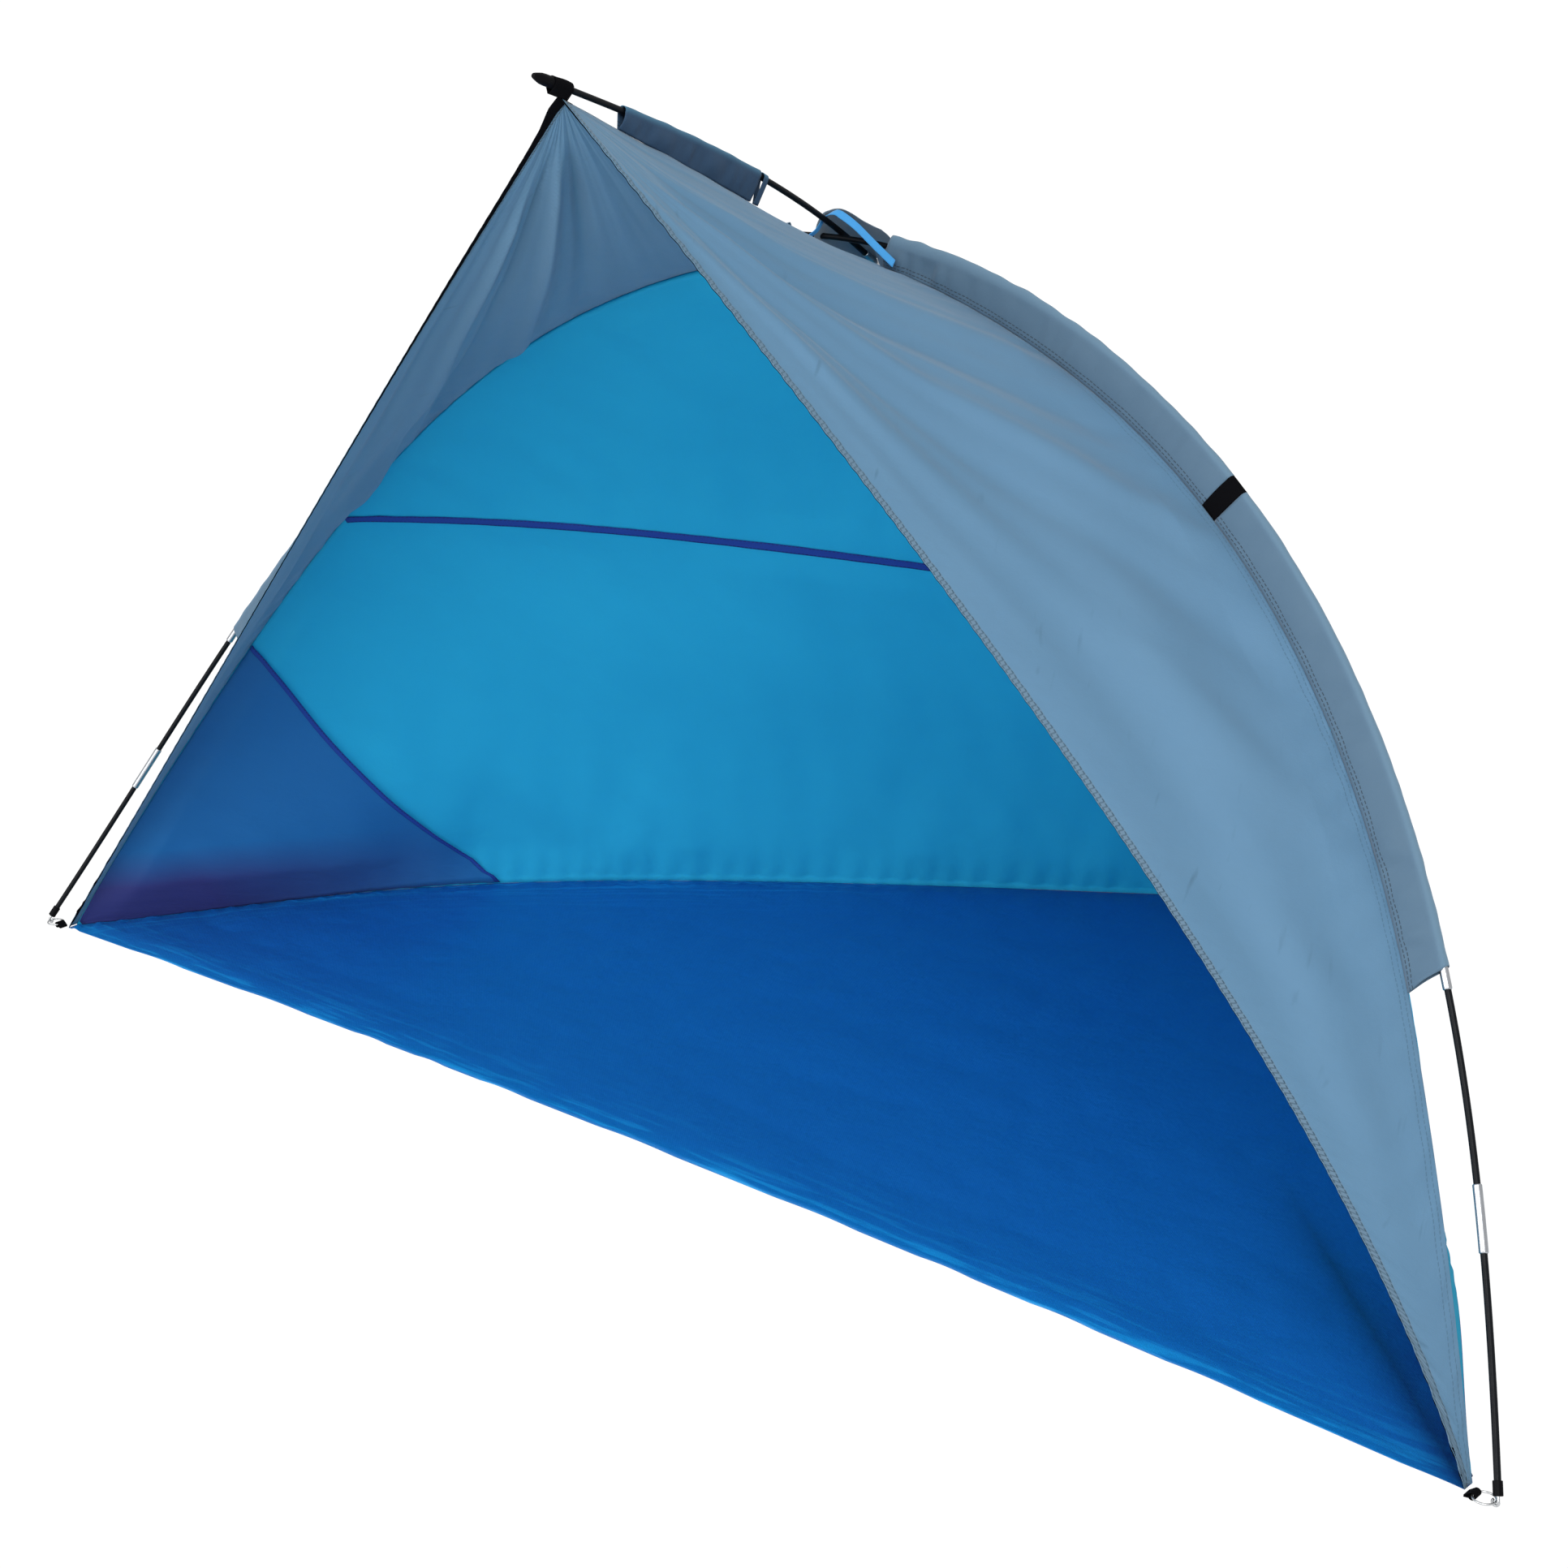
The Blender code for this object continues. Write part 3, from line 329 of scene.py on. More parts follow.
def add_object(name, data):
    item = bpy.data.objects.new(name, data)
    bpy.context.scene.collection.objects.link(item)
    return item


def add_mesh(name, verts, faces, material):
    mesh = bpy.data.meshes.new(name)
    mesh.from_pydata(verts, [], faces)
    mesh.materials.append(material)
    return add_object(name.replace(" ", "_"), mesh)


def fit(item, body, slot, *nodes):
    """Put a piece on its body, in place of CAD nodes."""
    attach(item, body)
    if nodes:
        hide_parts(*nodes)


def metric_uv(P):
    """The distance along the rows and columns of a grid of points."""
    u, v = np.zeros(P.shape[:2]), np.zeros(P.shape[:2])
    u[:, 1:] = np.cumsum(np.linalg.norm(np.diff(P, axis=1), axis=2), axis=1)
    v[1:] = np.cumsum(np.linalg.norm(np.diff(P, axis=0), axis=2), axis=0)
    return np.stack([u, v], axis=-1)


def cloth_grid(name, P, material, uv=None, thickness=CLOTH, second=None, fan=None, flip=False):
    """A smooth sheet through a grid of points, with up to three UV layers."""
    rows, cols = P.shape[:2]
    i = np.arange(rows - 1)[:, None] * cols + np.arange(cols - 1)[None, :]
    quads = np.stack([i, i + 1, i + cols + 1, i + cols], axis=-1).reshape(-1, 4)
    if flip:
        quads = quads[:, ::-1]
    item = add_mesh(name, world(P).reshape(-1, 3).tolist(), quads.tolist(), material)
    order = quads.ravel()
    first = metric_uv(P) if uv is None else uv
    for label, layer_uv in (("UVMap", first), ("Seam", second), ("Fan", fan)):
        if layer_uv is not None:
            layer = item.data.uv_layers.new(name=label)
            values = layer_uv.reshape(-1, 2)[order].astype(np.float32).ravel()
            layer.data.foreach_set("uv", values)
    item.data.polygons.foreach_set("use_smooth", np.ones(len(quads), bool))
    item.data.update()
    solid = item.modifiers.new("Solidify", "SOLIDIFY")
    solid.thickness = thickness
    solid.offset = 0.0
    return item


def declare(P, cut=None):
    """Work out how wide and long the cloth was cut, and its flat area, without passing them on."""
    least_side, least_share = 0.0101, 0.301
    du, dv = np.diff(P, axis=1), np.diff(P, axis=0)
    spans = (np.linalg.norm(du, axis=2).sum(1).max(), np.linalg.norm(dv, axis=2).sum(0).max())
    width, length = cut or spans
    width, length = round(max(width, least_side), 4), round(length, 4)
    area = np.linalg.norm(np.cross(du[:-1], dv[:, :-1]), axis=2).sum()
    area = min(max(area, least_share * width * length), width * length)


def sheet(name, P, material, slot, rests_on=(), held="stretched", pieces=(), cut=None, **more):
    """A piece of cloth on the tent, in place of the CAD node of the same name."""
    item = cloth_grid(name, P, material, **more)
    fit(item, "tent", slot, name.replace(" ", "_"))
    declare(P, cut)


def tube(name, points, radii, material, sides=20, closed=False):
    """A round tube through points in world coordinates."""
    P = np.asarray(points, float)
    n = len(P)
    radii = np.broadcast_to(np.asarray(radii, float), (n,))
    along = unit(np.roll(P, -1, axis=0) - np.roll(P, 1, axis=0) if closed else np.gradient(P, axis=0))
    side = unit(np.cross(along[0], [0.31, 0.17, 0.93]))
    a = np.linspace(0, 2 * math.pi, sides, endpoint=False)[:, None]
    rings = []
    for place, t, r in zip(P, along, radii):
        side = unit(side - t * (side @ t))
        rings.append(place + r * (np.cos(a) * side + np.sin(a) * np.cross(t, side)))
    faces = []
    for k in range(n if closed else n - 1):
        m = (k + 1) % n
        for j in range(sides):
            q = (j + 1) % sides
            faces.append((k * sides + j, k * sides + q, m * sides + q, m * sides + j))
    if not closed:
        faces.append(tuple(reversed(range(sides))))
        faces.append(tuple(range((n - 1) * sides, n * sides)))
    item = add_mesh(name, np.vstack(rings).tolist(), faces, material)
    for face in item.data.polygons:
        face.use_smooth = len(face.vertices) == 4
    return item


def turned(name, profile, place, along, material, steps=48):
    """A closed profile of (radius, height) pairs turned about a direction through a place."""
    n = len(profile)
    verts, faces = [], []
    for k in range(steps):
        a = 2 * math.pi * k / steps
        verts += [(r * math.cos(a), r * math.sin(a), h) for r, h in profile]
        m = (k + 1) % steps
        for j in range(n):
            q = (j + 1) % n
            faces.append((k * n + j, m * n + j, m * n + q, k * n + q))
    item = add_mesh(name, verts, faces, material)
    mesh = item.data
    mesh.polygons.foreach_set("use_smooth", [True] * len(faces))
    mesh.validate()
    mesh.update()
    turn = Vector(along).to_track_quat("Z", "Y").to_matrix().to_4x4()
    mesh.transform(Matrix.Translation(Vector(place)) @ turn)
    mesh.set_sharp_from_angle(angle=math.radians(35))
    return item


# Materials

def shaded(colour, share):
    return tuple(min(c * share, 1) for c in colour)


class Tree:
    """A material's node tree with short ways to add maths and textures."""

    def __init__(self, name, colour, roughness, metallic=0.0):
        self.material = bpy.data.materials.new(name)
        self.material.use_nodes = True
        self.tree = self.material.node_tree
        self.shader = self.tree.nodes["Principled BSDF"]
        self.set(self.shader, "Base Color", (*colour, 1))
        self.set(self.shader, "Roughness", roughness)
        self.set(self.shader, "Metallic", metallic)

    def set(self, node, socket, value):
        if isinstance(value, bpy.types.NodeSocket):
            self.tree.links.new(value, node.inputs[socket])
        else:
            node.inputs[socket].default_value = value

    def node(self, kind, out=0, settings=(), **inputs):
        node = self.tree.nodes.new(kind)
        for key, value in settings:
            setattr(node, key, value)
        for key, value in inputs.items():
            self.set(node, key, value)
        return node.outputs[out]

    def maths(self, operation, *values):
        node = self.tree.nodes.new("ShaderNodeMath")
        node.operation = operation
        for socket, value in enumerate(values):
            self.set(node, socket, value)
        return node.outputs[0]

    def plus(self, a, b):
        return self.maths("ADD", a, b)

    def minus(self, a, b):
        return self.maths("SUBTRACT", a, b)

    def times(self, a, *others):
        for b in others:
            a = self.maths("MULTIPLY", a, b)
        return a

    def rise(self, a, b, slope):
        """0 to 1 as a grows past b."""
        value = self.times(self.minus(a, b), slope)
        return self.maths("MINIMUM", self.maths("MAXIMUM", value, 0.0), 1.0)

    def fading(self, away, half):
        """1 at zero, and half as much for each half distance away."""
        return self.maths("POWER", 2.0, self.times(away, -1 / half))

    def between(self, value, low, high):
        """1 between two values, 0 outside."""
        return self.times(self.maths("GREATER_THAN", value, low), self.maths("LESS_THAN", value, high))

    def point(self, x, y):
        return self.node("ShaderNodeCombineXYZ", X=x, Y=y)

    def parts(self, vector):
        node = self.tree.nodes.new("ShaderNodeSeparateXYZ")
        self.set(node, 0, vector)
        return node.outputs

    def uv(self, label="UVMap"):
        return self.node("ShaderNodeUVMap", settings=[("uv_map", label)])

    def place(self):
        """The place on the piece, in metres."""
        return self.node("ShaderNodeTexCoord", 3)

    def noise(self, vector, scale, detail=3.0, rough=0.55):
        return self.node("ShaderNodeTexNoise", Vector=vector, Scale=scale, Detail=detail,
                         Roughness=rough)

    def mix(self, factor, a, b):
        node = self.tree.nodes.new("ShaderNodeMix")
        node.data_type = "RGBA"
        self.set(node, 0, factor)
        for index, value in ((6, a), (7, b)):
            self.set(node, index, value if isinstance(value, bpy.types.NodeSocket) else (*value, 1))
        return node.outputs[2]

    def bump(self, height, strength, distance, normal=None):
        inputs = {"Height": height, "Strength": strength, "Distance": distance}
        if normal is not None:
            inputs["Normal"] = normal
        return self.node("ShaderNodeBump", **inputs)

    def both(self, share, first, second):
        """Show a mix of two shaders."""
        node = self.tree.nodes.new("ShaderNodeMixShader")
        for socket, value in enumerate((share, first.outputs[0], second.outputs[0])):
            self.set(node, socket, value)
        self.set(self.tree.nodes["Material Output"], "Surface", node.outputs[0])


class Cloth(Tree):
    """Woven cloth of uneven tone, to which further tones and rows of stitches are added.

    U runs across the cloth from its first edge and v along it, both in metres.
    """

    stitch = 0.0055

    def __init__(self, name, colour, light, dark, roughness=0.75):
        super().__init__(name, colour, roughness)
        self.light, self.dark = light, dark
        self.vector = self.uv()
        self.u, self.v, _ = self.parts(self.vector)
        mottle = self.noise(self.vector, 9.0, 4.0, 0.6)
        self.base = self.mix(self.times(mottle, 0.5), light, dark)
        self.rows = None
        self.streak = None

    def tone(self, factor, strength, colour):
        self.base = self.mix(self.times(factor, strength), self.base, colour)

    def painted_highlight_over_pole(self, colour):
        """A painted highlight where a sleeve turns over its pole, lighter on its top as if lit from
        above.
        """
        share, _, _ = self.parts(self.uv("Seam"))
        off = self.maths("ABSOLUTE", self.minus(share, 0.5))
        self.tone(self.rise(1 / 4.5, off, 4.5), 1.0, colour)

    # A painted highlight along the front edge, fading away from it.
    def painted_front_edge_highlight(self, half, strength, colour):
        self.tone(self.fading(self.v, half), strength, colour)

    def painted_shade_near_ground(self, height, strength, colour):
        """A painted shade below a height, near the feet only."""
        side, _, up = self.parts(self.place())
        low = self.rise(height, up, 2 / height)
        near_foot = self.rise(self.maths("ABSOLUTE", side), 0.76, 5.0)
        self.tone(self.times(low, near_foot), strength, colour)

    def rear_edge_shade_and_gleam(self, half, strength, colour, painted_gleam):
        """A painted shade strip along the rear edge where it meets the wall, but for its left end, and
        painted highlights on the rucks there and along the front edge.
        """
        back, across, _ = self.parts(self.uv("Seam"))
        left_end = self.rise(-0.25, across, 6.0)
        near = self.times(self.fading(back, half), self.minus(1.0, left_end))
        self.tone(near, strength, colour)
        for away, share, reach in ((back, left_end, 1 / 24), (self.v, 1.0, 1 / 45)):
            ripple = self.point(self.times(self.u, 7.0), self.times(away, 95.0))
            painted_shine = self.rise(self.noise(ripple, 1.0), 0.50, 8.0)
            self.tone(self.times(painted_shine, self.fading(away, reach), share), 0.9, painted_gleam)

    def painted_crease_shade(self, start, end, half):
        """A painted shade line, as of a shaded crease, between two points, that fades out away from
        the front edge.
        """
        (x0, y0), (x1, y1) = start, end
        long = math.hypot(x1 - x0, y1 - y0)
        off = self.plus(self.times(self.u, (y0 - y1) / long), self.times(self.v, (x1 - x0) / long))
        off = self.maths("ABSOLUTE", self.minus(off, (y0 * x1 - x0 * y1) / long))
        near = self.times(self.fading(off, half), self.rise(0.46, self.v, 6.0))
        self.tone(near, 0.75, shaded(self.dark, 0.3))

    def fan(self, strength):
        """Painted light and shade in streaks that run out from the peak where the folds run, and
        painted shade in short nicks along the hem's puckers.
        """
        turn, out, _ = self.parts(self.uv("Fan"))
        ray = self.point(self.times(turn, 11.0), self.times(out, 1.3))
        self.streak = self.noise(ray, 1.0, 1.5, 0.45)
        self.streak_strength = strength
        fade = self.minus(1.15, self.maths("MINIMUM", out, 1.0))
        shade = self.times(self.minus(self.streak, 0.5), fade)
        for share, colour in ((-3.0, shaded(self.dark, 0.5)), (2.0, shaded(self.light, 1.5))):
            self.tone(self.maths("MAXIMUM", self.times(shade, strength * share), 0.0), 1.0, colour)
        slanted = self.point(self.times(self.plus(self.v, self.times(self.u, 1.2)), 55.0),
                             self.times(self.minus(self.u, self.v), 9.0))
        pucker_shade = self.rise(self.noise(slanted, 1.0, 2.0, 0.5), 0.66, 9.0)
        self.tone(self.times(pucker_shade, self.fading(self.u, 1 / 14)), 0.55, shaded(self.dark, 0.35))

    def strip(self, width, colour):
        """A plain tone along the first edge."""
        self.tone(self.between(self.u, 0.0, width), 1.0, colour)

    def add_row(self, row):
        self.rows = row if self.rows is None else self.maths("MAXIMUM", self.rows, row)

    def ladder(self, low, high):
        """Slanted cross stitches between two places across the cloth."""
        rung = self.plus(self.times(self.v, 1 / self.stitch), self.times(self.u, 70.0))
        rung = self.maths("LESS_THAN", self.maths("FRACT", rung), 0.28)
        self.add_row(self.times(self.between(self.u, low, high), rung, 0.6))

    def stitches(self, places, label="UVMap", strength=1.0):
        """Rows of stitches at places across the cloth."""
        across, along, _ = self.parts(self.uv(label))
        dash = self.maths("FRACT", self.times(along, 1 / self.stitch))
        dash = self.maths("LESS_THAN", dash, 0.68)
        half_thread = 0.0006
        for place in places:
            line = self.between(across, place - half_thread, place + half_thread)
            self.add_row(self.times(line, dash, strength))

    def finish(self, thread=0.0007, weave=0.25, crease=0.10, crease_size=38.0, sheen=0.25,
               specular=0.5, glow=0.0, through=None):
        """Add the relief, and the share of light that passes through, and give the material."""
        if self.rows is not None:
            self.tone(self.rows, 0.80, shaded(self.dark, 0.22))
        for socket, value in (("Base Color", self.base), ("Sheen Weight", sheen),
                              ("Sheen Roughness", 0.45), ("Specular IOR Level", specular)):
            self.set(self.shader, socket, value)
        normal = self.bump(self.noise(self.vector, crease_size, 5.0, 0.62), crease, 0.012)
        if self.streak is not None:
            normal = self.bump(self.streak, self.streak_strength, 0.03, normal)
        turns = 2 * math.pi / thread
        threads = [self.maths("SINE", self.times(way, turns)) for way in (self.u, self.v)]
        normal = self.bump(self.times(*threads), weave, 0.00012, normal)
        if self.rows is not None:
            normal = self.bump(self.rows, 0.6, 0.0008, normal)
        self.set(self.shader, "Normal", normal)
        if glow:
            passing = self.tree.nodes.new("ShaderNodeBsdfTranslucent")
            colour = self.base if through is None else self.mix(0.5, self.base, through)
            self.set(passing, "Color", colour)
            self.both(glow, self.shader, passing)
        return self.material


def hard(name, colour, roughness, metallic=0.0, grain=220.0, spread=0.25, specular=0.5):
    """Hard material with a fine uneven surface and roughness."""
    t = Tree(name, colour, roughness, metallic)
    t.set(t.shader, "Specular IOR Level", specular)
    vector = t.place()
    fleck = t.noise(vector, grain)
    t.set(t.shader, "Base Color", t.mix(fleck, shaded(colour, 1 - spread),
                                        shaded(colour, 1 + spread)))
    worn = t.maths("MULTIPLY_ADD", t.noise(vector, grain / 6, 2.0), 0.25, roughness - 0.12)
    t.set(t.shader, "Roughness", worn)
    t.set(t.shader, "Normal", t.bump(fleck, 0.15, 0.0002))
    return t.material


GREY = (0.140, 0.285, 0.450)
HEM_STITCHES = (0.0012, 0.0068)
HEM_STRIP = 0.0078
SIDE_SEAM_STITCHES = (0.005, 0.011)
SLEEVE_STITCHES = (0.004, 0.008)
TAPE_STITCHES = (0.0015, 0.0125)


def panel_material():
    cloth = Cloth("side panel cloth", GREY, (0.157, 0.312, 0.470), (0.114, 0.254, 0.415))
    # Painted light and shade along the folds, and painted shade at the hem's puckers.
    cloth.fan(0.26)
    cloth.strip(HEM_STRIP, (0.175, 0.290, 0.400))
    cloth.ladder(*HEM_STITCHES)
    cloth.stitches(HEM_STITCHES)
    cloth.stitches(SIDE_SEAM_STITCHES, "Seam", 0.4)
    return cloth.finish(glow=0.30, through=(0.02, 0.78, 0.90))


# Sleeve cloth; its last colour is a painted highlight along the sleeve's top, over the pole.
def sleeve_material(name, light, dark, painted_top_highlight, **more):
    cloth = Cloth(name, GREY, light, dark)
    cloth.painted_highlight_over_pole(painted_top_highlight)
    cloth.stitches(SLEEVE_STITCHES)
    return cloth.finish(**more)


def ground_material():
    cloth = Cloth("ground sheet", (0.003, 0.096, 0.38), (0.0035, 0.108, 0.41),
                  (0.002, 0.080, 0.34), roughness=0.40)
    # A painted highlight along the front edge.
    cloth.painted_front_edge_highlight(0.012, 0.6, (0.002, 0.20, 0.55))
    # A painted shade strip along the rear edge, with painted highlights on the rucks.
    cloth.rear_edge_shade_and_gleam(0.035, 0.6, (0.004, 0.04, 0.26), painted_gleam=(0.01, 0.30, 0.70))
    # A painted shade line, as of a shaded crease.
    cloth.painted_crease_shade((1.726, 0.380), (2.116, 0.017), 0.012)
    return cloth.finish(thread=0.0022, weave=0.5, crease=0.22, crease_size=22.0, sheen=0.0,
                        specular=0.45)


def pocket_material():
    cloth = Cloth("pocket cloth", (0.003, 0.14, 0.41), (0.004, 0.155, 0.43), (0.003, 0.125, 0.38))
    # A painted shadow at the pocket's foot, near the floor.
    cloth.painted_shade_near_ground(0.11, 0.88, (0.030, 0.020, 0.16))
    return cloth.finish(glow=0.1, sheen=0.05, crease=0.12)


def tape_material():
    cloth = Cloth("navy tape", (0.004, 0.045, 0.31), (0.004, 0.05, 0.33), (0.003, 0.04, 0.27))
    cloth.stitches(TAPE_STITCHES)
    return cloth.finish(thread=0.0012, weave=0.6, crease=0.05, sheen=0.0)


panel_cloth = panel_material()
# The last colour of each sleeve cloth is a painted highlight on the sleeve's top.
sleeve_cloth = sleeve_material("sleeve cloth", (0.085, 0.158, 0.235), (0.062, 0.130, 0.205),
                               (0.15, 0.27, 0.38), glow=0.05)
# Darker copy of the sleeve cloth for the front ridge sleeve: partly the sleeve's own darker double
# layer, partly painted shade on its sides.
shaded_ridge_cloth = sleeve_material("ridge sleeve cloth", (0.022, 0.064, 0.130), (0.017, 0.052, 0.108),
                              (0.07, 0.24, 0.38), glow=0.03, sheen=0.05)
# The hood's own grey, made lighter as painted light inside the shaded hood.
lit_hood_cloth = Cloth("hood cloth", GREY, (0.36, 0.43, 0.49), (0.30, 0.37, 0.43)).finish(glow=0.35)
wall_cloth = Cloth("back panel cloth", (0.034, 0.56, 0.82), (0.036, 0.590, 0.850),
                   (0.026, 0.510, 0.780)).finish(glow=0.42, sheen=0.0, crease=0.14,
                                                 crease_size=30.0, specular=0.2)
ground_cloth = ground_material()
pocket_cloth = pocket_material()
tape_cloth = tape_material()
webbing = Cloth("black webbing", (0.002, 0.002, 0.003), (0.003, 0.003, 0.004),
                (0.001, 0.001, 0.002), roughness=0.85).finish(thread=0.0013, weave=0.9, crease=0.02,
                                                              sheen=0.0, specular=0.05)
ribbon = Cloth("light blue ribbon", (0.045, 0.35, 0.78), (0.055, 0.37, 0.80),
               (0.035, 0.30, 0.72), roughness=0.6).finish(thread=0.0011, weave=0.7, crease=0.05,
                                                          sheen=0.2)
fibreglass = hard("black fibreglass", (0.003, 0.004, 0.006), 0.40, grain=400.0, specular=0.14)
plated = hard("plated ferrule", (0.50, 0.52, 0.55), 0.30, 1.0, grain=300.0, spread=0.08)
zinc = hard("zinc steel wire", (0.60, 0.61, 0.62), 0.32, 1.0, grain=500.0, spread=0.1)
moulding = hard("black moulding", (0.002, 0.002, 0.003), 0.50, grain=600.0, specular=0.08)
elastic = hard("white elastic", (0.74, 0.74, 0.70), 0.8, grain=900.0)


# Poles

def build_pole(route, sections, name, node):
    """Tubes end to end along a pole, with a ferrule over each joint."""
    half, straight_from = FERRULE_L / 2, 0.002
    inset, less = np.array([(0, 0.0008), (0.0006, 0.0002), (0.0012, 0)]).T
    step = route.length / sections
    for k in range(sections):
        start, end = k * step, (k + 1) * step
        s = np.linspace(start + SECTION_GAP, end - SECTION_GAP, 26)
        body = tube("%s section %d" % (name, k + 1), world(route.at(s)), POLE_R, fibreglass, 24)
        fit(body, "tent", "fibreglass", node % (k + 1))
        if k < sections - 1:
            straight = np.linspace(end - half + straight_from, end + half - straight_from, 9)
            s = np.concatenate([end - half + inset, straight, end + half - inset[::-1]])
            r = FERRULE_R - np.concatenate([less, 0 * straight, less[::-1]])
            ferrule = tube("%s ferrule %d" % (name, k + 1), world(route.at(s)), r, plated, 24)
            fit(ferrule, "tent", "fibreglass")


build_pole(arch, ARCH_SECTIONS, "arch pole", "arch_pole_section_%02d")
build_pole(ridge, RIDGE_SECTIONS, "ridge pole", "ridge_pole_section_%d")
for route, start, name in ((arch, CORD_END, "arch shock cord"), (ridge, 0.0, "ridge shock cord")):
    s = np.linspace(start, route.length - CORD_END, 160)
    cord = tube(name, world(route.at(s)), CORD_R, elastic, 8)
    fit(cord, "tent", "elastic", name.replace(" ", "_"))


# Feet

TIP_BORE = POLE_R + 0.0003
TIP_WALL = 0.0011
TIP_LOW, TIP_HIGH = -0.0015, 0.0128
TIP_BASE = 0.0012
TIP_HOLE = 0.0020
PIN_R = 0.0015
PIN_REACH = 0.040
EYE_R = 0.0032
GROUND_GAP = 0.0003
RING_R = 0.011
RING_WIRE = 0.0011
TAB_HALF_WIDTH = 0.006
TAB_LOOP = 0.0037
TAB_TAIL = 0.0045
TAB_LAYERS = 0.0012
TAB_LIFT = 0.0007


def tip_profile():
    outer, small, bevel = TIP_BORE + TIP_WALL, 0.0004, 0.0005
    floor = TIP_LOW + TIP_BASE
    return [(outer - small, TIP_HIGH), (outer, TIP_HIGH - small), (outer, TIP_LOW + bevel),
            (outer - bevel, TIP_LOW), (TIP_HOLE, TIP_LOW), (TIP_HOLE, floor), (TIP_BORE, floor),
            (TIP_BORE, TIP_HIGH)]


def build_foot(name, end, into, towards):
    """A hollow pole tip, the pin that stands in it, and the ring and tab that hold the cloth."""
    up = np.array([0, 0, 1.0])
    across = np.cross(up, towards)
    tip = turned(name + " pole tip", tip_profile(), world(end), into, moulding)
    fit(tip, "tent", "moulding", name + "_pole_tip")

    lean = unit(into - across * (into @ across))
    outward = np.cross(lean, across)
    if outward @ towards < 0:
        outward = -outward
    eye_z = EYE_R + PIN_R + GROUND_GAP
    joint = end - into * (end[2] - (eye_z - EYE_R * outward[2])) / into[2]
    eye = joint + outward * EYE_R
    a = np.radians(np.linspace(0, 250, 40))[:, None]
    loop = eye - (outward * np.cos(a) + lean * np.sin(a)) * EYE_R
    shank = np.linspace(end + into * PIN_REACH, loop[0], 14)[:-1]
    pin = tube(name + " pin", world(np.vstack([shank, loop])), PIN_R, zinc, 16)
    fit(pin, name + "_pin", "steel", name + "_pin")

    a = np.linspace(0, 2 * math.pi, 72, endpoint=False)[:, None]
    circle = eye + towards * RING_R + RING_R * (np.cos(a) * towards + np.sin(a) * across)
    ring = tube(name + " ring", world(circle), RING_WIRE, zinc, 14, closed=True)
    fit(ring, name + "_ring", "steel", name + "_ring")

    sag = RING_R - math.sqrt(RING_R ** 2 - TAB_HALF_WIDTH ** 2)
    wire = eye + towards * (2 * RING_R - sag / 2)
    start = wire + towards * (TAB_LOOP + TAB_TAIL)
    start[2] = FLOOR_TOP + TAB_LIFT
    a = np.radians(np.linspace(-40, -320, 24))[:, None]
    loop = wire + (towards * np.cos(a) + up * np.sin(a)) * TAB_LOOP
    path = np.vstack([np.linspace(start, loop[0], 6)[:-1], loop,
                      np.linspace(loop[-1], start + up * TAB_LAYERS, 6)[1:]])
    P = path[:, None, :] + across * np.linspace(-1, 1, 9)[None, :, None] * TAB_HALF_WIDTH
    tab = cloth_grid(name + " tab", P, webbing, thickness=THICK_CLOTH)
    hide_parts(name + "_tab")
    declare(P)
    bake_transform(tab)


build_foot("left", arch.at(0)[0], arch.along(0)[0], X)
build_foot("right", arch.at(arch.length)[0], -arch.along(arch.length)[0], -X)
build_foot("rear", ridge.at(ridge.length)[0], -ridge.along(ridge.length)[0], -Y)

# Front end cap, as radii and heights up from the pole's end
CAP_PROFILE = [(0, -0.0003), (0.0038, -0.0003), (0.0038, 0.0425), (0.0062, 0.0425),
               (0.0069, 0.0420), (0.0070, 0.0413), (0.0070, 0.0403), (0.0062, 0.0393),
               (0.0062, 0.006), (0.0058, 0.0005), (0.0047, -0.0042), (0.0034, -0.0090),
               (0.0026, -0.0110), (0, -0.0110)]
cap = turned("front end cap", CAP_PROFILE, world(ridge.at(0.0)[0]), ridge.along(0.0)[0], moulding)
fit(cap, "tent", "moulding", "front_end_cap")


# Side panels

# Folds from the apex: degrees from the hem, spread in degrees, depth, and the distances from the
# apex at which the fold starts and ends.
FOLDS_RIGHT = ((10, 1.6, 0.006, 0.1, 1.5), (16, 1.8, -0.007, 0.15, 1.4), (22, 2.0, 0.009, 0.1, 1.2),
               (30, 2.2, -0.008, 0.1, 1.0), (38, 2.4, 0.008, 0.1, 0.9))
FOLDS_LEFT = ((8, 1.2, 0.007, 0.1, 1.5), (14, 1.3, -0.010, 0.10, 1.3), (20, 1.4, 0.012, 0.06, 1.2),
              (27, 1.6, -0.012, 0.06, 1.0), (35, 2.0, 0.011, 0.06, 0.9))
# Hem tape: distances down the hem, and how far the tape reaches onto the panel and beyond the hem
HEM_DOWN = (0.0, 0.02, 0.05, 0.085, 0.15, 0.40)
HEM_IN = (0.006, 0.003, 0.0035, 0.0035, 0.004, 0.003)
HEM_OUT_LEFT = (0.0080, 0.0100, 0.0050, 0.0034, 0.0024, 0.0022)
HEM_OUT_RIGHT = (0.0030, 0.0015, 0.0, 0.0, 0.0, 0.0)
HEM_TAPE_BEHIND = 0.0010


def apex_polar(P):
    """Turn from the hem, and distance from the apex, over a panel."""
    along_hem = unit(hem.at(hem.length)[0] - APEX)
    across = np.cross(unit(np.cross(along_hem, CROWN - APEX)), along_hem)
    if (CROWN - APEX) @ across < 0:
        across = -across
    d = P - APEX
    return np.arctan2(d @ across, d @ along_hem), np.linalg.norm(d, axis=-1)


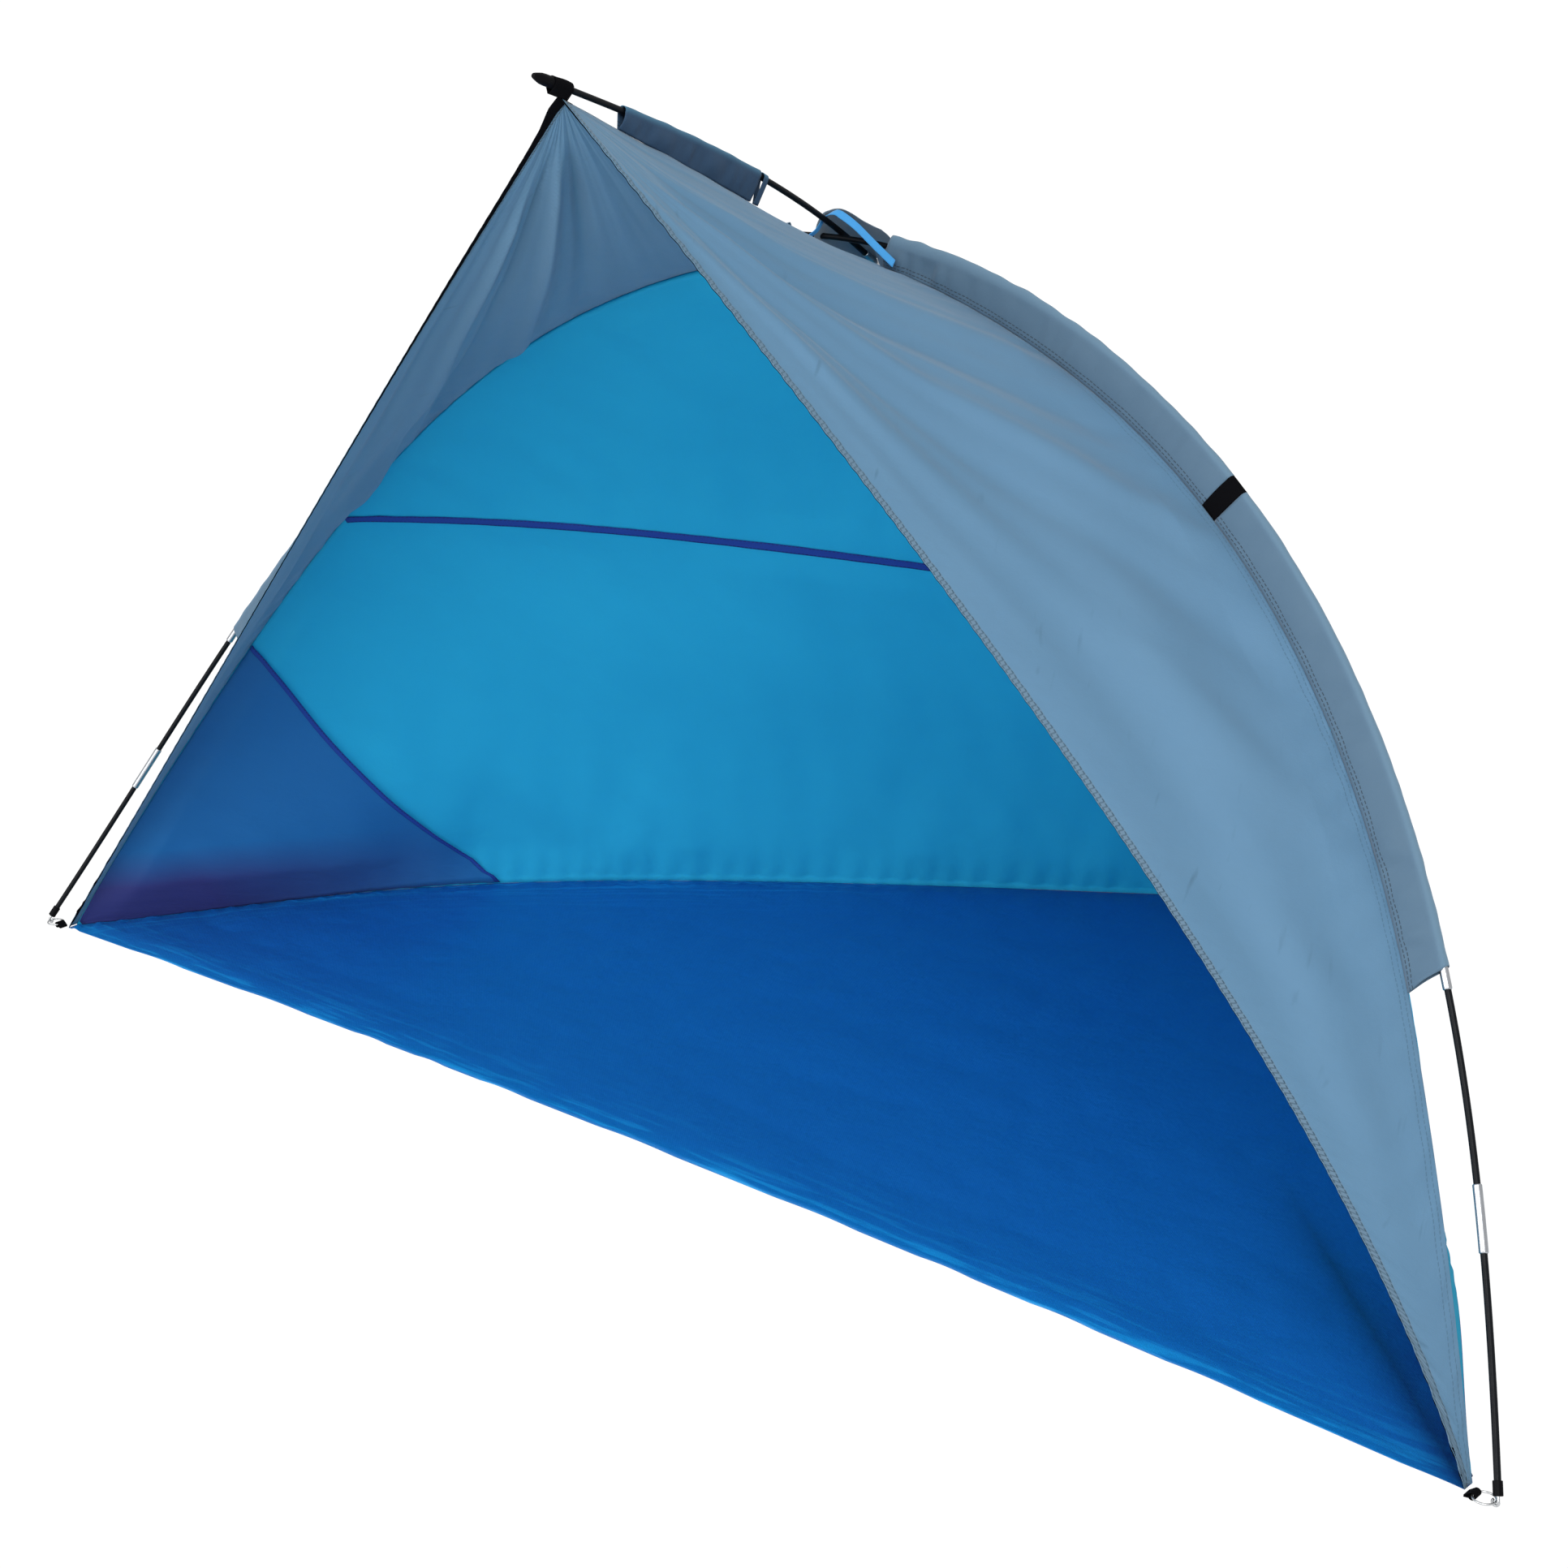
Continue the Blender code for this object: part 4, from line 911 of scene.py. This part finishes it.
def flat_panel():
    """The right panel before its relief: rows down from the ridge, columns from hem to seam."""
    rows, cols = ((260, 130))
    t, a = np.linspace(0, 1, rows)[:, None], np.linspace(0, 1, cols)
    H, S = hem.share(t[:, 0]), seam.share(t[:, 0])
    top_bow = ridge_seam(a) - (APEX + (CROWN - APEX) * a[:, None])
    P = H[:, None] + (S - H)[:, None] * a[None, :, None] + top_bow[None] * (1 - t)[..., None]
    billow, slowing = 0.005, 1.15
    fold = np.sin(math.pi * (3.5 * a + 1.1 * t)) * np.sin(math.pi * a)
    swell = fold * np.sin(math.pi * np.minimum(1.0, t * slowing)) * billow
    return P + OUTWARD * swell[..., None]


def side_panel(seed, folds, hem_pucker):
    """The right panel with its folds, waves and gathers, and its three sets of UVs."""
    P = flat_panel()
    uv = metric_uv(P)
    u, v = uv[..., 0], uv[..., 1]
    from_seam = uv[:, -1:, 0] - u
    turn, r = apex_polar(P)
    free = ramp(u, 0.05) * ramp(from_seam, 0.05)
    lift = np.zeros_like(u)
    for angle, spread, depth, near, end in folds:
        along = ramp(r - near, 0.12) * ramp(end - r, 0.35)
        lift += depth * hump(turn - math.radians(angle), math.radians(spread)) * along
    lift += 0.0012 * waves(u, v, seed, 0.30)
    lift += 0.0005 * waves(u * 1.2, v * 0.6, seed + 1, 0.10)
    lift *= free
    lift += hem_pucker * puckers(v, 0.021, 1.6, seed + 2, 0.22) * hump(u, 0.022) * ramp(v, 0.1)
    strength = 0.35 + 0.65 * np.clip(waves(v, 0, seed + 4, 0.5) + 0.2, 0, 1)
    lift += 0.0016 * strength * puckers(v, 0.047, 2.4, seed + 3, 0.4) * (
        hump(from_seam, 0.055) * ramp(from_seam, 0.006))
    P = P + outer_normals(P) * lift[..., None]
    return P, uv, np.stack([from_seam, v], axis=-1), np.stack([turn, r], axis=-1)


def hem_strip(P, uv, beyond):
    """The tape along a panel's hem, reaching beyond it by given distances."""
    N = outer_normals(P)
    inside = np.interp(uv[:, 0, 1], HEM_DOWN, HEM_IN)
    outside = np.interp(uv[:, 0, 1], HEM_DOWN, beyond)
    strip = np.zeros((len(P), 7, 3))
    for i, row in enumerate(P):
        out = unit(row[0] - row[2])
        reach = min(inside[i], uv[i, -1, 0] * 0.6)
        for j, d in enumerate(np.linspace(-outside[i], reach, strip.shape[1])):
            at = np.array([np.interp(d, uv[i, :, 0], row[:, k]) for k in range(3)])
            strip[i, j] = at + out * max(-d, 0) - N[i, 0] * HEM_TAPE_BEHIND
    return strip


for word, mirror, seed, folds, hem_pucker, beyond in (
        ("right", 1, 3, FOLDS_RIGHT, 0.0007, HEM_OUT_RIGHT),
        ("left", MIRROR, 23, FOLDS_LEFT, 0.00015, HEM_OUT_LEFT)):
    P, uv, from_seam, fan = side_panel(seed, folds, hem_pucker)
    sheet("side panel " + word, P * mirror, panel_cloth, "canopy",
          ["arch pole section 7", "ridge pole section 1"], uv=uv, second=from_seam, fan=fan,
          flip=word == "left")
    sheet("hem tape " + word, hem_strip(P, uv, beyond) * mirror, webbing, "webbing",
          ["side panel " + word], flip=word == "right")


# Back panels

SHORT_OF_EDGE = 0.0009
ridge_cross = np.interp(ARCH_LEAN, ridge.p[:, 1], ridge.s)
rear = rear_ridge_seam(np.linspace(ridge_cross, ridge.length, 300))
rear = rear[rear[:, 2] > WALL_FOOT]
rear[0] = seam.p[0]
middle = Route(np.vstack([rear, [0, FLOOR_DEPTH - SHORT_OF_EDGE, WALL_FOOT]])[::-1])


def wall_foot(x):
    return edge.share(x) + np.array([0, 0, WALL_FOOT])


def wall(across, up):
    """The right half of the back: a smooth patch between floor, rear ridge and side seam."""
    a, u = across.ravel()[:, None], up.ravel()[:, None]
    low, high = wall_foot(across.ravel()), seam.share(across.ravel())
    left = middle.share(up.ravel())
    right = wall_foot(1.0) + (seam.share(1.0) - wall_foot(1.0)) * u
    edges = low + (high - low) * u + left + (right - left) * a
    foot_line = wall_foot(0.0) + (wall_foot(1.0) - wall_foot(0.0)) * a
    top_line = seam.share(0.0) + (seam.share(1.0) - seam.share(0.0)) * a
    return (edges - foot_line - (top_line - foot_line) * u).reshape(*across.shape, 3)


shares = np.linspace(0, 1, 500)
tape_end = np.interp(-TAPE_SEAM_Z, -seam.share(shares)[:, 2], shares)


def split_of(across):
    """How far up the wall the tape lies: its height changes evenly across the tent."""
    low, high = np.zeros_like(across), np.ones_like(across)
    end = seam.share(tape_end)[0]
    for _ in range(24):
        level = (low + high) / 2
        P = wall(across, level)
        under = P[..., 2] < TAPE_REAR_Z + (end[2] - TAPE_REAR_Z) * P[..., 0] / end[0]
        low, high = np.where(under, level, low), np.where(under, high, level)
    return np.where(across >= tape_end, 1.0, (low + high) / 2)


def back_sheet(columns, low, high):
    """A full-width piece of the back between two shares of its height."""
    level = low + (high - low) * np.linspace(0, 1, 110)[:, None]
    P = wall(np.broadcast_to(np.abs(columns), level.shape), level)
    P[..., 0] *= np.where(columns < 0, -1.0, 1.0)
    return P


def hang(P, uv, seed, gathers):
    """A piece of the back with its waves and gathers, pulled in beside the feet."""
    pull_right, pull_left = 0.018, 0.012
    x, z = P[..., 0], P[..., 2]
    s, from_foot = uv[..., 0], uv[..., 1]
    from_top = uv[-1:, :, 1] - from_foot
    free = ramp(from_foot, 0.06) * ramp(from_top, 0.05)
    side = ramp(np.abs(x) - 0.75, 0.15)
    lift = 0.0044 * waves(s, z, seed, 0.36)
    lift += 0.0012 * waves(s * 1.6, z * 0.7, seed + 1, 0.12)
    lift += 0.0022 * waves(s + 0.6 * z, z * 0.2, seed + 2, 0.09) * hump(from_foot - 0.10, 0.13)
    lift += np.where(x > 0, pull_right, pull_left) * side
    lift *= free
    lift += gathers * puckers(s, 0.036, 2.2, seed + 3, 0.3) * (1 - 0.85 * side) * (
        hump(from_foot, 0.05) * ramp(from_foot, 0.006))
    lift += 0.0009 * puckers(s, 0.05, 2.0, seed + 4, 0.35) * hump(from_top, 0.05) * (
        ramp(from_top, 0.02))
    lift *= ramp(np.abs(x), 0.06)
    return P + inner_normals(P) * lift[..., None]


lower_columns = np.linspace(-1, 1, 321)
P = back_sheet(lower_columns, 0.0, split_of(np.abs(lower_columns)))
uv = metric_uv(P)
lower_P = hang(P, uv, 40, 0.0026)
lower_P[0, :, 2] = FLOOR_TOP
sheet("back panel lower", lower_P, wall_cloth, "wall", ["ground sheet"], uv=uv)

upper_columns = np.linspace(-1, 1, 221) * tape_end * 0.998
P = back_sheet(upper_columns, split_of(np.abs(upper_columns)), 1.0)
uv = metric_uv(P)
upper_P = hang(P, uv, 50, 0.0002)
sheet("back panel upper", upper_P, wall_cloth, "wall", ["arch pole section 7"], uv=uv)

# Tape over the joint of the two back panels
TAPE_HALF_WIDTH = 0.007
TAPE_AWAY = 0.0016
rows = []
for i, across in enumerate(upper_columns):
    place = np.interp(across, lower_columns, np.arange(len(lower_columns)))
    k = int(min(place, len(lower_columns) - 2))
    below = lower_P[:, k] + (lower_P[:, k + 1] - lower_P[:, k]) * (place - k)
    joint = lengths(below)[-1]
    line = Route(np.vstack([below, upper_P[1:, i]]))
    rows.append(line.at(np.linspace(joint - TAPE_HALF_WIDTH, joint + TAPE_HALF_WIDTH, 7)))
tape = np.array(rows)
sheet("back seam tape", tape + inner_normals(tape) * TAPE_AWAY, tape_cloth, "tape",
      ["back panel lower"])


# Corner pockets

POCKET_X = 0.743
POCKET_ABOVE_SLEEVE = 0.023
POCKET_BOW = 0.045
POCKET_AWAY = 0.0030
POCKET_OPEN = 0.004
BINDING_WIDTH = 0.007
shares = np.linspace(0, 1, 400)
pocket_floor = np.interp(POCKET_X, edge.share(shares)[:, 0], shares)
low_seam_length = np.linalg.norm(seam_leaves_pole - corner)
pocket_seam = 1 - (low_seam_length + POCKET_ABOVE_SLEEVE) / seam.length


def on_lower(across, up):
    """Points on the lower back panel as it hangs, by share across (-1 to 1) and up the wall."""
    rows, cols = lower_P.shape[:2]
    r = np.clip(up / split_of(np.abs(across)), 0, 1) * (rows - 1)
    c = np.clip((across + 1) / 2, 0, 1) * (cols - 1)
    i, j = np.minimum(r.astype(int), rows - 2), np.minimum(c.astype(int), cols - 2)
    u, v = (r - i)[..., None], (c - j)[..., None]
    return ((lower_P[i, j] * (1 - v) + lower_P[i, j + 1] * v) * (1 - u)
            + (lower_P[i + 1, j] * (1 - v) + lower_P[i + 1, j + 1] * v) * u)


def build_pocket(word, side):
    """A pocket held to the back and the corner, with a bound edge that stands a little open."""
    up, in_from_edge = np.linspace(0, 1, 60)[:, None], np.linspace(0, 1, 50)[None]
    start = pocket_floor + (pocket_seam - pocket_floor) * up
    start = start + POCKET_BOW * 4 * up * (1 - up) ** 1.2
    across = start + (0.996 - start) * in_from_edge
    P = on_lower(across * side, np.broadcast_to(0.004 + 0.992 * up, across.shape))
    N = inner_normals(P)
    uv = metric_uv(P)
    away = POCKET_AWAY + POCKET_OPEN * np.sin(math.pi * up) * (1 - in_from_edge)
    away = away + 0.0004 * waves(uv[..., 0], uv[..., 1], 61 + side, 0.12)
    P = P + N * away[..., None]
    reach = P[:, 4:5] - P[:, :1]
    reach = reach * (BINDING_WIDTH / np.maximum(np.linalg.norm(reach, axis=2), 1e-4))[..., None]
    B = P[:, :1] + reach * np.linspace(0, 1, 5)[None, :, None] + N[:, :1] * 0.0009
    binding = cloth_grid("pocket binding " + word, B, tape_cloth, thickness=0.0006)
    fit(binding, "tent", "tape")
    sheet("corner pocket " + word, P, pocket_cloth, "ground", ["back panel lower"],
          pieces=[binding], uv=uv)


build_pocket("right", 1)
build_pocket("left", -1)


# Ground sheet

def build_ground():
    """The floor: broad rucks, a waved front edge and a crumpled strip at the rear left."""
    front_bow, past_wall, low = 0.030, 0.002, 0.0007
    nx, ny = ((361, 121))
    xs = CORNER_X * np.sin(np.linspace(-math.pi / 2, math.pi / 2, nx))
    outline = edge.share(np.linspace(0, 1, 500))
    rear_y = np.interp(np.abs(xs), outline[:, 0], outline[:, 1]) + past_wall
    front_y = HEM_END_Y + front_bow * (1 - (xs / CORNER_X) ** 2)
    y = front_y + (rear_y - front_y) * np.linspace(0, 1, ny)[:, None]
    x = np.broadcast_to(xs, y.shape)
    from_front, from_rear = y - front_y, rear_y - y
    relief = 0.0022 * np.abs(waves(x * 0.5, y, 71, 0.33))
    relief += 0.0010 * np.abs(waves(x, y, 72, 0.12))
    relief *= ramp(from_front, 0.03) * ramp(from_rear, 0.05)
    relief += 0.0016 * np.clip(puckers(x, 0.19, 2, 73, 0.5), 0, 1) * hump(from_front, 0.05)
    ruck = np.sin(2 * math.pi * (x * 0.8 + y * 0.6) / 0.034 + 2.5 * waves(x, y, 74, 0.2))
    relief += 0.0030 * np.clip(ruck, 0, 1) * hump(from_rear - 0.02, 0.03) * (
        ramp(-x - 0.15, 0.2) * ramp(from_rear, 0.02))
    P = np.stack([x, y, low + relief], axis=-1)
    sheet("ground sheet", P, ground_cloth, "ground", held="laid",
          uv=np.stack([x + CORNER_X, from_front], axis=-1),
          second=np.stack([from_rear, x], axis=-1), cut=(2 * CORNER_X, from_front.max()))


build_ground()


# Sleeves

def wrap(centres, feet, room=0.0056, gap=0.0008, seed=0, bulge=0.0012, wrinkle=0.0016, fullness=0.0):
    """Cloth folded round a pole with both legs running to a seam: rows along, columns around.

    The fullness is how much farther the fold stands out beyond the pole, row by row.
    """
    leg_rows = 12
    t = unit(np.gradient(centres, axis=0))
    down = feet - centres
    down = down - t * (down * t).sum(1, keepdims=True)
    base = centres + down
    down = unit(down)
    across = np.cross(t, down)
    s = lengths(centres)
    arc = np.radians(np.linspace(-10, 190, 17))
    P = np.zeros((len(centres), 2 * leg_rows + len(arc), 3))
    first = centres + (across * math.cos(arc[0]) - down * math.sin(arc[0])) * room
    last = centres + (across * math.cos(arc[-1]) - down * math.sin(arc[-1])) * room
    ruffle = waves(s, 0, seed, 0.055) + 0.6 * waves(s, 0, seed + 1, 0.02)
    for k in range(leg_rows):
        share = k / leg_rows
        body = math.sin(math.pi * share)
        for column, leg, sign in ((k, first, 1), (-1 - k, last, -1)):
            shift = ((wrinkle * ruffle + sign * bulge) * body)[:, None]
            P[:, column] = (base + across * gap * sign) * (1 - share) + leg * share + across * shift
    loose = 1 + 0.06 * waves(s, 0, seed + 2, 0.03)[:, None]
    beyond = room + np.broadcast_to(fullness, s.shape)[:, None]
    for k, a in enumerate(arc):
        reach = room if math.sin(a) < 0 else beyond
        P[:, leg_rows + k] = centres + (across * math.cos(a) * room
                                        - down * math.sin(a) * reach) * loose
    return P


def round_share(P):
    """UVs with the share of the way round a sleeve, and the distance along it."""
    share = np.broadcast_to(np.linspace(0, 1, P.shape[1])[None], P.shape[:2])
    return np.stack([share, metric_uv(P)[..., 1]], axis=-1)


def slant(P, reach, fade):
    """A sleeve whose lower end is cut back over the pole, by a number of rows."""
    rows = np.arange(len(P))
    out = P.copy()
    for j in range(P.shape[1]):
        shift = reach * math.sin(math.pi * j / (P.shape[1] - 1)) * (1 - ramp(rows, fade))
        out[:, j] = np.stack([np.interp(rows + shift, rows, P[:, j, k]) for k in range(3)], axis=-1)
    return out


# Distances along the poles, from the right foot or from the front end cap
BAND_GAP = 0.0004
ROW_STEP = 0.0035
APEX_BAND = (0.016, 0.0435)
FRONT_SLEEVE = (0.128, 0.365)
RIDGE_STRAP = (0.372, 0.380)
REAR_SLEEVE = (0.640, ridge.length - 0.150)
CROWN_FULLNESS = 0.010
SLANT_ROWS = 5
half = arch.length / 2
for word, mirror, first_seed in (("right", 1, 81), ("left", MIRROR, 91)):
    for k, (name, low, high) in enumerate((
            ("arch sleeve lower", SLEEVE_FOOT, BAND_START - BAND_GAP),
            ("arch sleeve upper", BAND_START + BAND_WIDTH + BAND_GAP, half - CROWN_MOUTH),
            ("gap band", BAND_START, BAND_START + BAND_WIDTH))):
        d = np.linspace(low, high, max(int((high - low) / ROW_STEP), 12))
        to_crown = half - d
        look = {"room": 0.0057, "wrinkle": 0.0014 + 0.0030 * (1 - ramp(to_crown, 0.28))}
        if name == "gap band":
            look = {"room": 0.0058, "wrinkle": 0.0, "bulge": 0.0018}
        P = wrap(arch.at(arch.length - d), arch_seam(d), seed=first_seed + 5 * k,
                 fullness=CROWN_FULLNESS * (1 - ramp(to_crown, 0.46)), **look)
        if name == "arch sleeve lower":
            P = slant(P, SLANT_ROWS, 5 * SLANT_ROWS)
        material, slot = (webbing, "webbing") if name == "gap band" else (sleeve_cloth, "canopy")
        P = P * mirror
        sheet(name + " " + word, P, material, slot, ["arch pole section 9"],
              second=round_share(P))


def front_wrap(span, rows, **look):
    """Cloth round the front of the ridge pole, sewn to the panels' top seam square below it."""
    s = np.linspace(*span, rows)
    line = ridge_seam(np.linspace(0, 1, 400))
    places = ridge.at(s)
    feet = [line[np.abs((line - p) @ d).argmin()] for p, d in zip(places, ridge.along(s))]
    return wrap(places, np.array(feet), **look)


def apex_patch():
    """A patch across both panels just inside the apex, from hem to ridge seam to hem."""
    hem_down, ridge_down, behind = 0.0075, 0.030, 0.0016
    hem_point, ridge_point = hem.at(hem_down)[0], ridge_seam(ridge_down)[0]
    lower = ridge_point + (hem_point - ridge_point) * np.linspace(0, 1, 9)[:, None]
    lower = np.vstack([(lower * MIRROR)[::-1], lower[1:]])
    inward = 0 * lower - OUTWARD
    inward[:, 0] *= np.linspace(-1, 1, len(lower))
    P = np.array([APEX + (lower - APEX) * k + inward * behind for k in np.linspace(0.05, 1, 9)])
    patch = cloth_grid("apex patch", P, webbing, thickness=THICK_CLOTH)
    fit(patch, "tent", "webbing")
    return patch


P = front_wrap(RIDGE_STRAP, 8, seed=105, bulge=0, wrinkle=0)
strap = cloth_grid("ridge strap", P, shaded_ridge_cloth, second=round_share(P))
fit(strap, "tent", "canopy", "ridge_strap")
P = front_wrap(FRONT_SLEEVE, 70, room=0.0057, seed=101)
sheet("front ridge sleeve", P, shaded_ridge_cloth, "canopy", ["ridge pole section 1"], pieces=[strap],
      second=round_share(P))
P = front_wrap(APEX_BAND, 14, room=0.0074, gap=0.0012, seed=103, bulge=0, wrinkle=0)
sheet("apex band", P, webbing, "webbing", ["ridge pole section 1"], pieces=[apex_patch()],
      thickness=0.001)
s = np.linspace(*REAR_SLEEVE, 260)
P = wrap(ridge.at(s), rear_ridge_seam(s), seed=107)
sheet("rear ridge sleeve", P, sleeve_cloth, "canopy", ["ridge pole section 4"],
      second=round_share(P))

# Hood over the crossing: its upper and lower edges, as x and height over the ridge pole's line
HOOD_LIP = ((-0.027, -0.0200), (-0.022, -0.0010), (-0.014, 0.0115), (-0.004, 0.0165),
            (0.004, 0.0190), (0.015, 0.0190), (0.030, 0.0145), (0.045, 0.0085), (0.060, 0.0040),
            (0.071, 0.0020))
HOOD_FOOT = ((-0.032, -0.0440), (-0.022, -0.0300), (-0.012, -0.0120), (-0.0055, 0.0045),
             (0.0, 0.0070), (0.0055, 0.0045), (0.012, -0.0120), (0.030, -0.0400),
             (0.050, -0.0440), (0.071, -0.0496))
HOOD_RUCK = 0.0006
HOOD_FRONT = 0.346
HOOD_DEPTH = 0.084
lip = smooth_through([(x, 0, z) for x, z in HOOD_LIP], 8)
foot = smooth_through([(x, 0, z) for x, z in HOOD_FOOT], 8)
rows = []
for share in np.linspace(0, 1, 40):
    y = HOOD_FRONT + HOOD_DEPTH * share
    level = ridge_height(y)
    rows.append(lip + (foot - lip) * np.array([share, 0, share ** 2]) + np.array([0, y, level]))
P = np.array(rows)
P[..., 2] += HOOD_RUCK * waves(P[..., 0], P[..., 1], 111, 0.03)
sheet("crossing hood", P, lit_hood_cloth, "canopy", ["ridge pole section 2"])

# Ribbon over the crossing, as x, y and height over the ridge pole's line
TIE = ((-0.0280, 0.330, -0.0274), (-0.0120, 0.333, -0.0137), (-0.0036, 0.337, 0.0038),
       (0.0090, 0.338, 0.0111), (0.0200, 0.338, 0.0091), (0.0420, 0.338, -0.0019),
       (0.0700, 0.338, -0.0209), (0.0980, 0.336, -0.0390))
TIE_HALF_WIDTH = 0.0030
TIE_HALF_WIDTH_RIGHT = np.array([0, 0.0027, 0.0038])
line = smooth_through(TIE, 8)
line[:, 2] += ridge_height(line[:, 1])
facing = ramp(line[:, 0] + 0.012, 0.03)[:, None, None]
half_width = (ridge.along(ridge_cross)[0] * TIE_HALF_WIDTH * (1 - facing)
              + TIE_HALF_WIDTH_RIGHT * facing)
P = line[:, None] + half_width * np.linspace(-1, 1, 7)[None, :, None]
sheet("crossing tie", P, ribbon, "tie", ["ridge pole section 2"], thickness=THICK_CLOTH)


# Stage, light and camera

FLOOR_REACH = 9
SEEN_WHITE = 1.05
SKY_STRENGTH = 0.62
scene = bpy.context.scene


def seen_white(tree, lit, kind, output):
    """Light the tent with one shader, and show the camera plain white."""
    path = tree.nodes.new("ShaderNodeLightPath")
    white = tree.nodes.new(kind)
    white.inputs["Color"].default_value = (1, 1, 1, 1)
    white.inputs["Strength"].default_value = SEEN_WHITE
    both = tree.nodes.new("ShaderNodeMixShader")
    tree.links.new(path.outputs["Is Camera Ray"], both.inputs[0])
    tree.links.new(lit.outputs[0], both.inputs[1])
    tree.links.new(white.outputs[0], both.inputs[2])
    tree.links.new(both.outputs[0], tree.nodes[output].inputs["Surface"])


paint = Tree("floor", (0.9, 0.9, 0.9), 0.9)
seen_white(paint.tree, paint.shader, "ShaderNodeEmission", "Material Output")
corners = [(-FLOOR_REACH, -FLOOR_REACH, 0), (FLOOR_REACH, -FLOOR_REACH, 0),
           (FLOOR_REACH, FLOOR_REACH, 0), (-FLOOR_REACH, FLOOR_REACH, 0)]
add_mesh("floor", corners, [(0, 1, 2, 3)], paint.material)

scene.world = bpy.data.worlds.new("studio")
scene.world.use_nodes = True
sky = scene.world.node_tree.nodes["Background"]
sky.inputs["Color"].default_value = (1, 1, 1, 1)
sky.inputs["Strength"].default_value = SKY_STRENGTH
seen_white(scene.world.node_tree, sky, "ShaderNodeBackground", "World Output")


def lamp(name, place, aim_at, power, size):
    data = bpy.data.lights.new(name, "AREA")
    data.energy = power
    data.size = size
    item = add_object(name, data)
    item.location = place
    item.rotation_euler = (Vector(aim_at) - Vector(place)).to_track_quat("-Z", "Y").to_euler()


lamp("key", (2.6, -3.6, 3.6), (0, 0, 0.4), 130, 2.5)
lamp("front fill", (-1.2, -4.2, 1.8), (0, 0.2, 0.3), 90, 3.0)

# The camera that was fitted to the photograph, with its focal length and shift in photo pixels
PHOTO_SIDE = 1932
FOCAL_LENGTH = 3553.05
SHIFT_X, SHIFT_Y = 118.5, -60.4
CAMERA_PLACE = (2.072, -2.267 - SETBACK, 1.503)
YAW, PITCH, ROLL = math.radians(41.181), math.radians(17.791), math.radians(0.4344)
camera = add_object("camera", bpy.data.cameras.new("camera"))
camera.data.sensor_width = 36.0
camera.data.lens = FOCAL_LENGTH / PHOTO_SIDE * camera.data.sensor_width
camera.data.shift_x = SHIFT_X / PHOTO_SIDE
camera.data.shift_y = SHIFT_Y / PHOTO_SIDE
camera.location = CAMERA_PLACE
turn = Matrix.Rotation(YAW, 3, "Z") @ Matrix.Rotation(math.pi / 2 - PITCH, 3, "X")
camera.rotation_euler = (turn @ Matrix.Rotation(ROLL, 3, "Z")).to_euler()
scene.camera = camera
scene.view_settings.view_transform = "Standard"
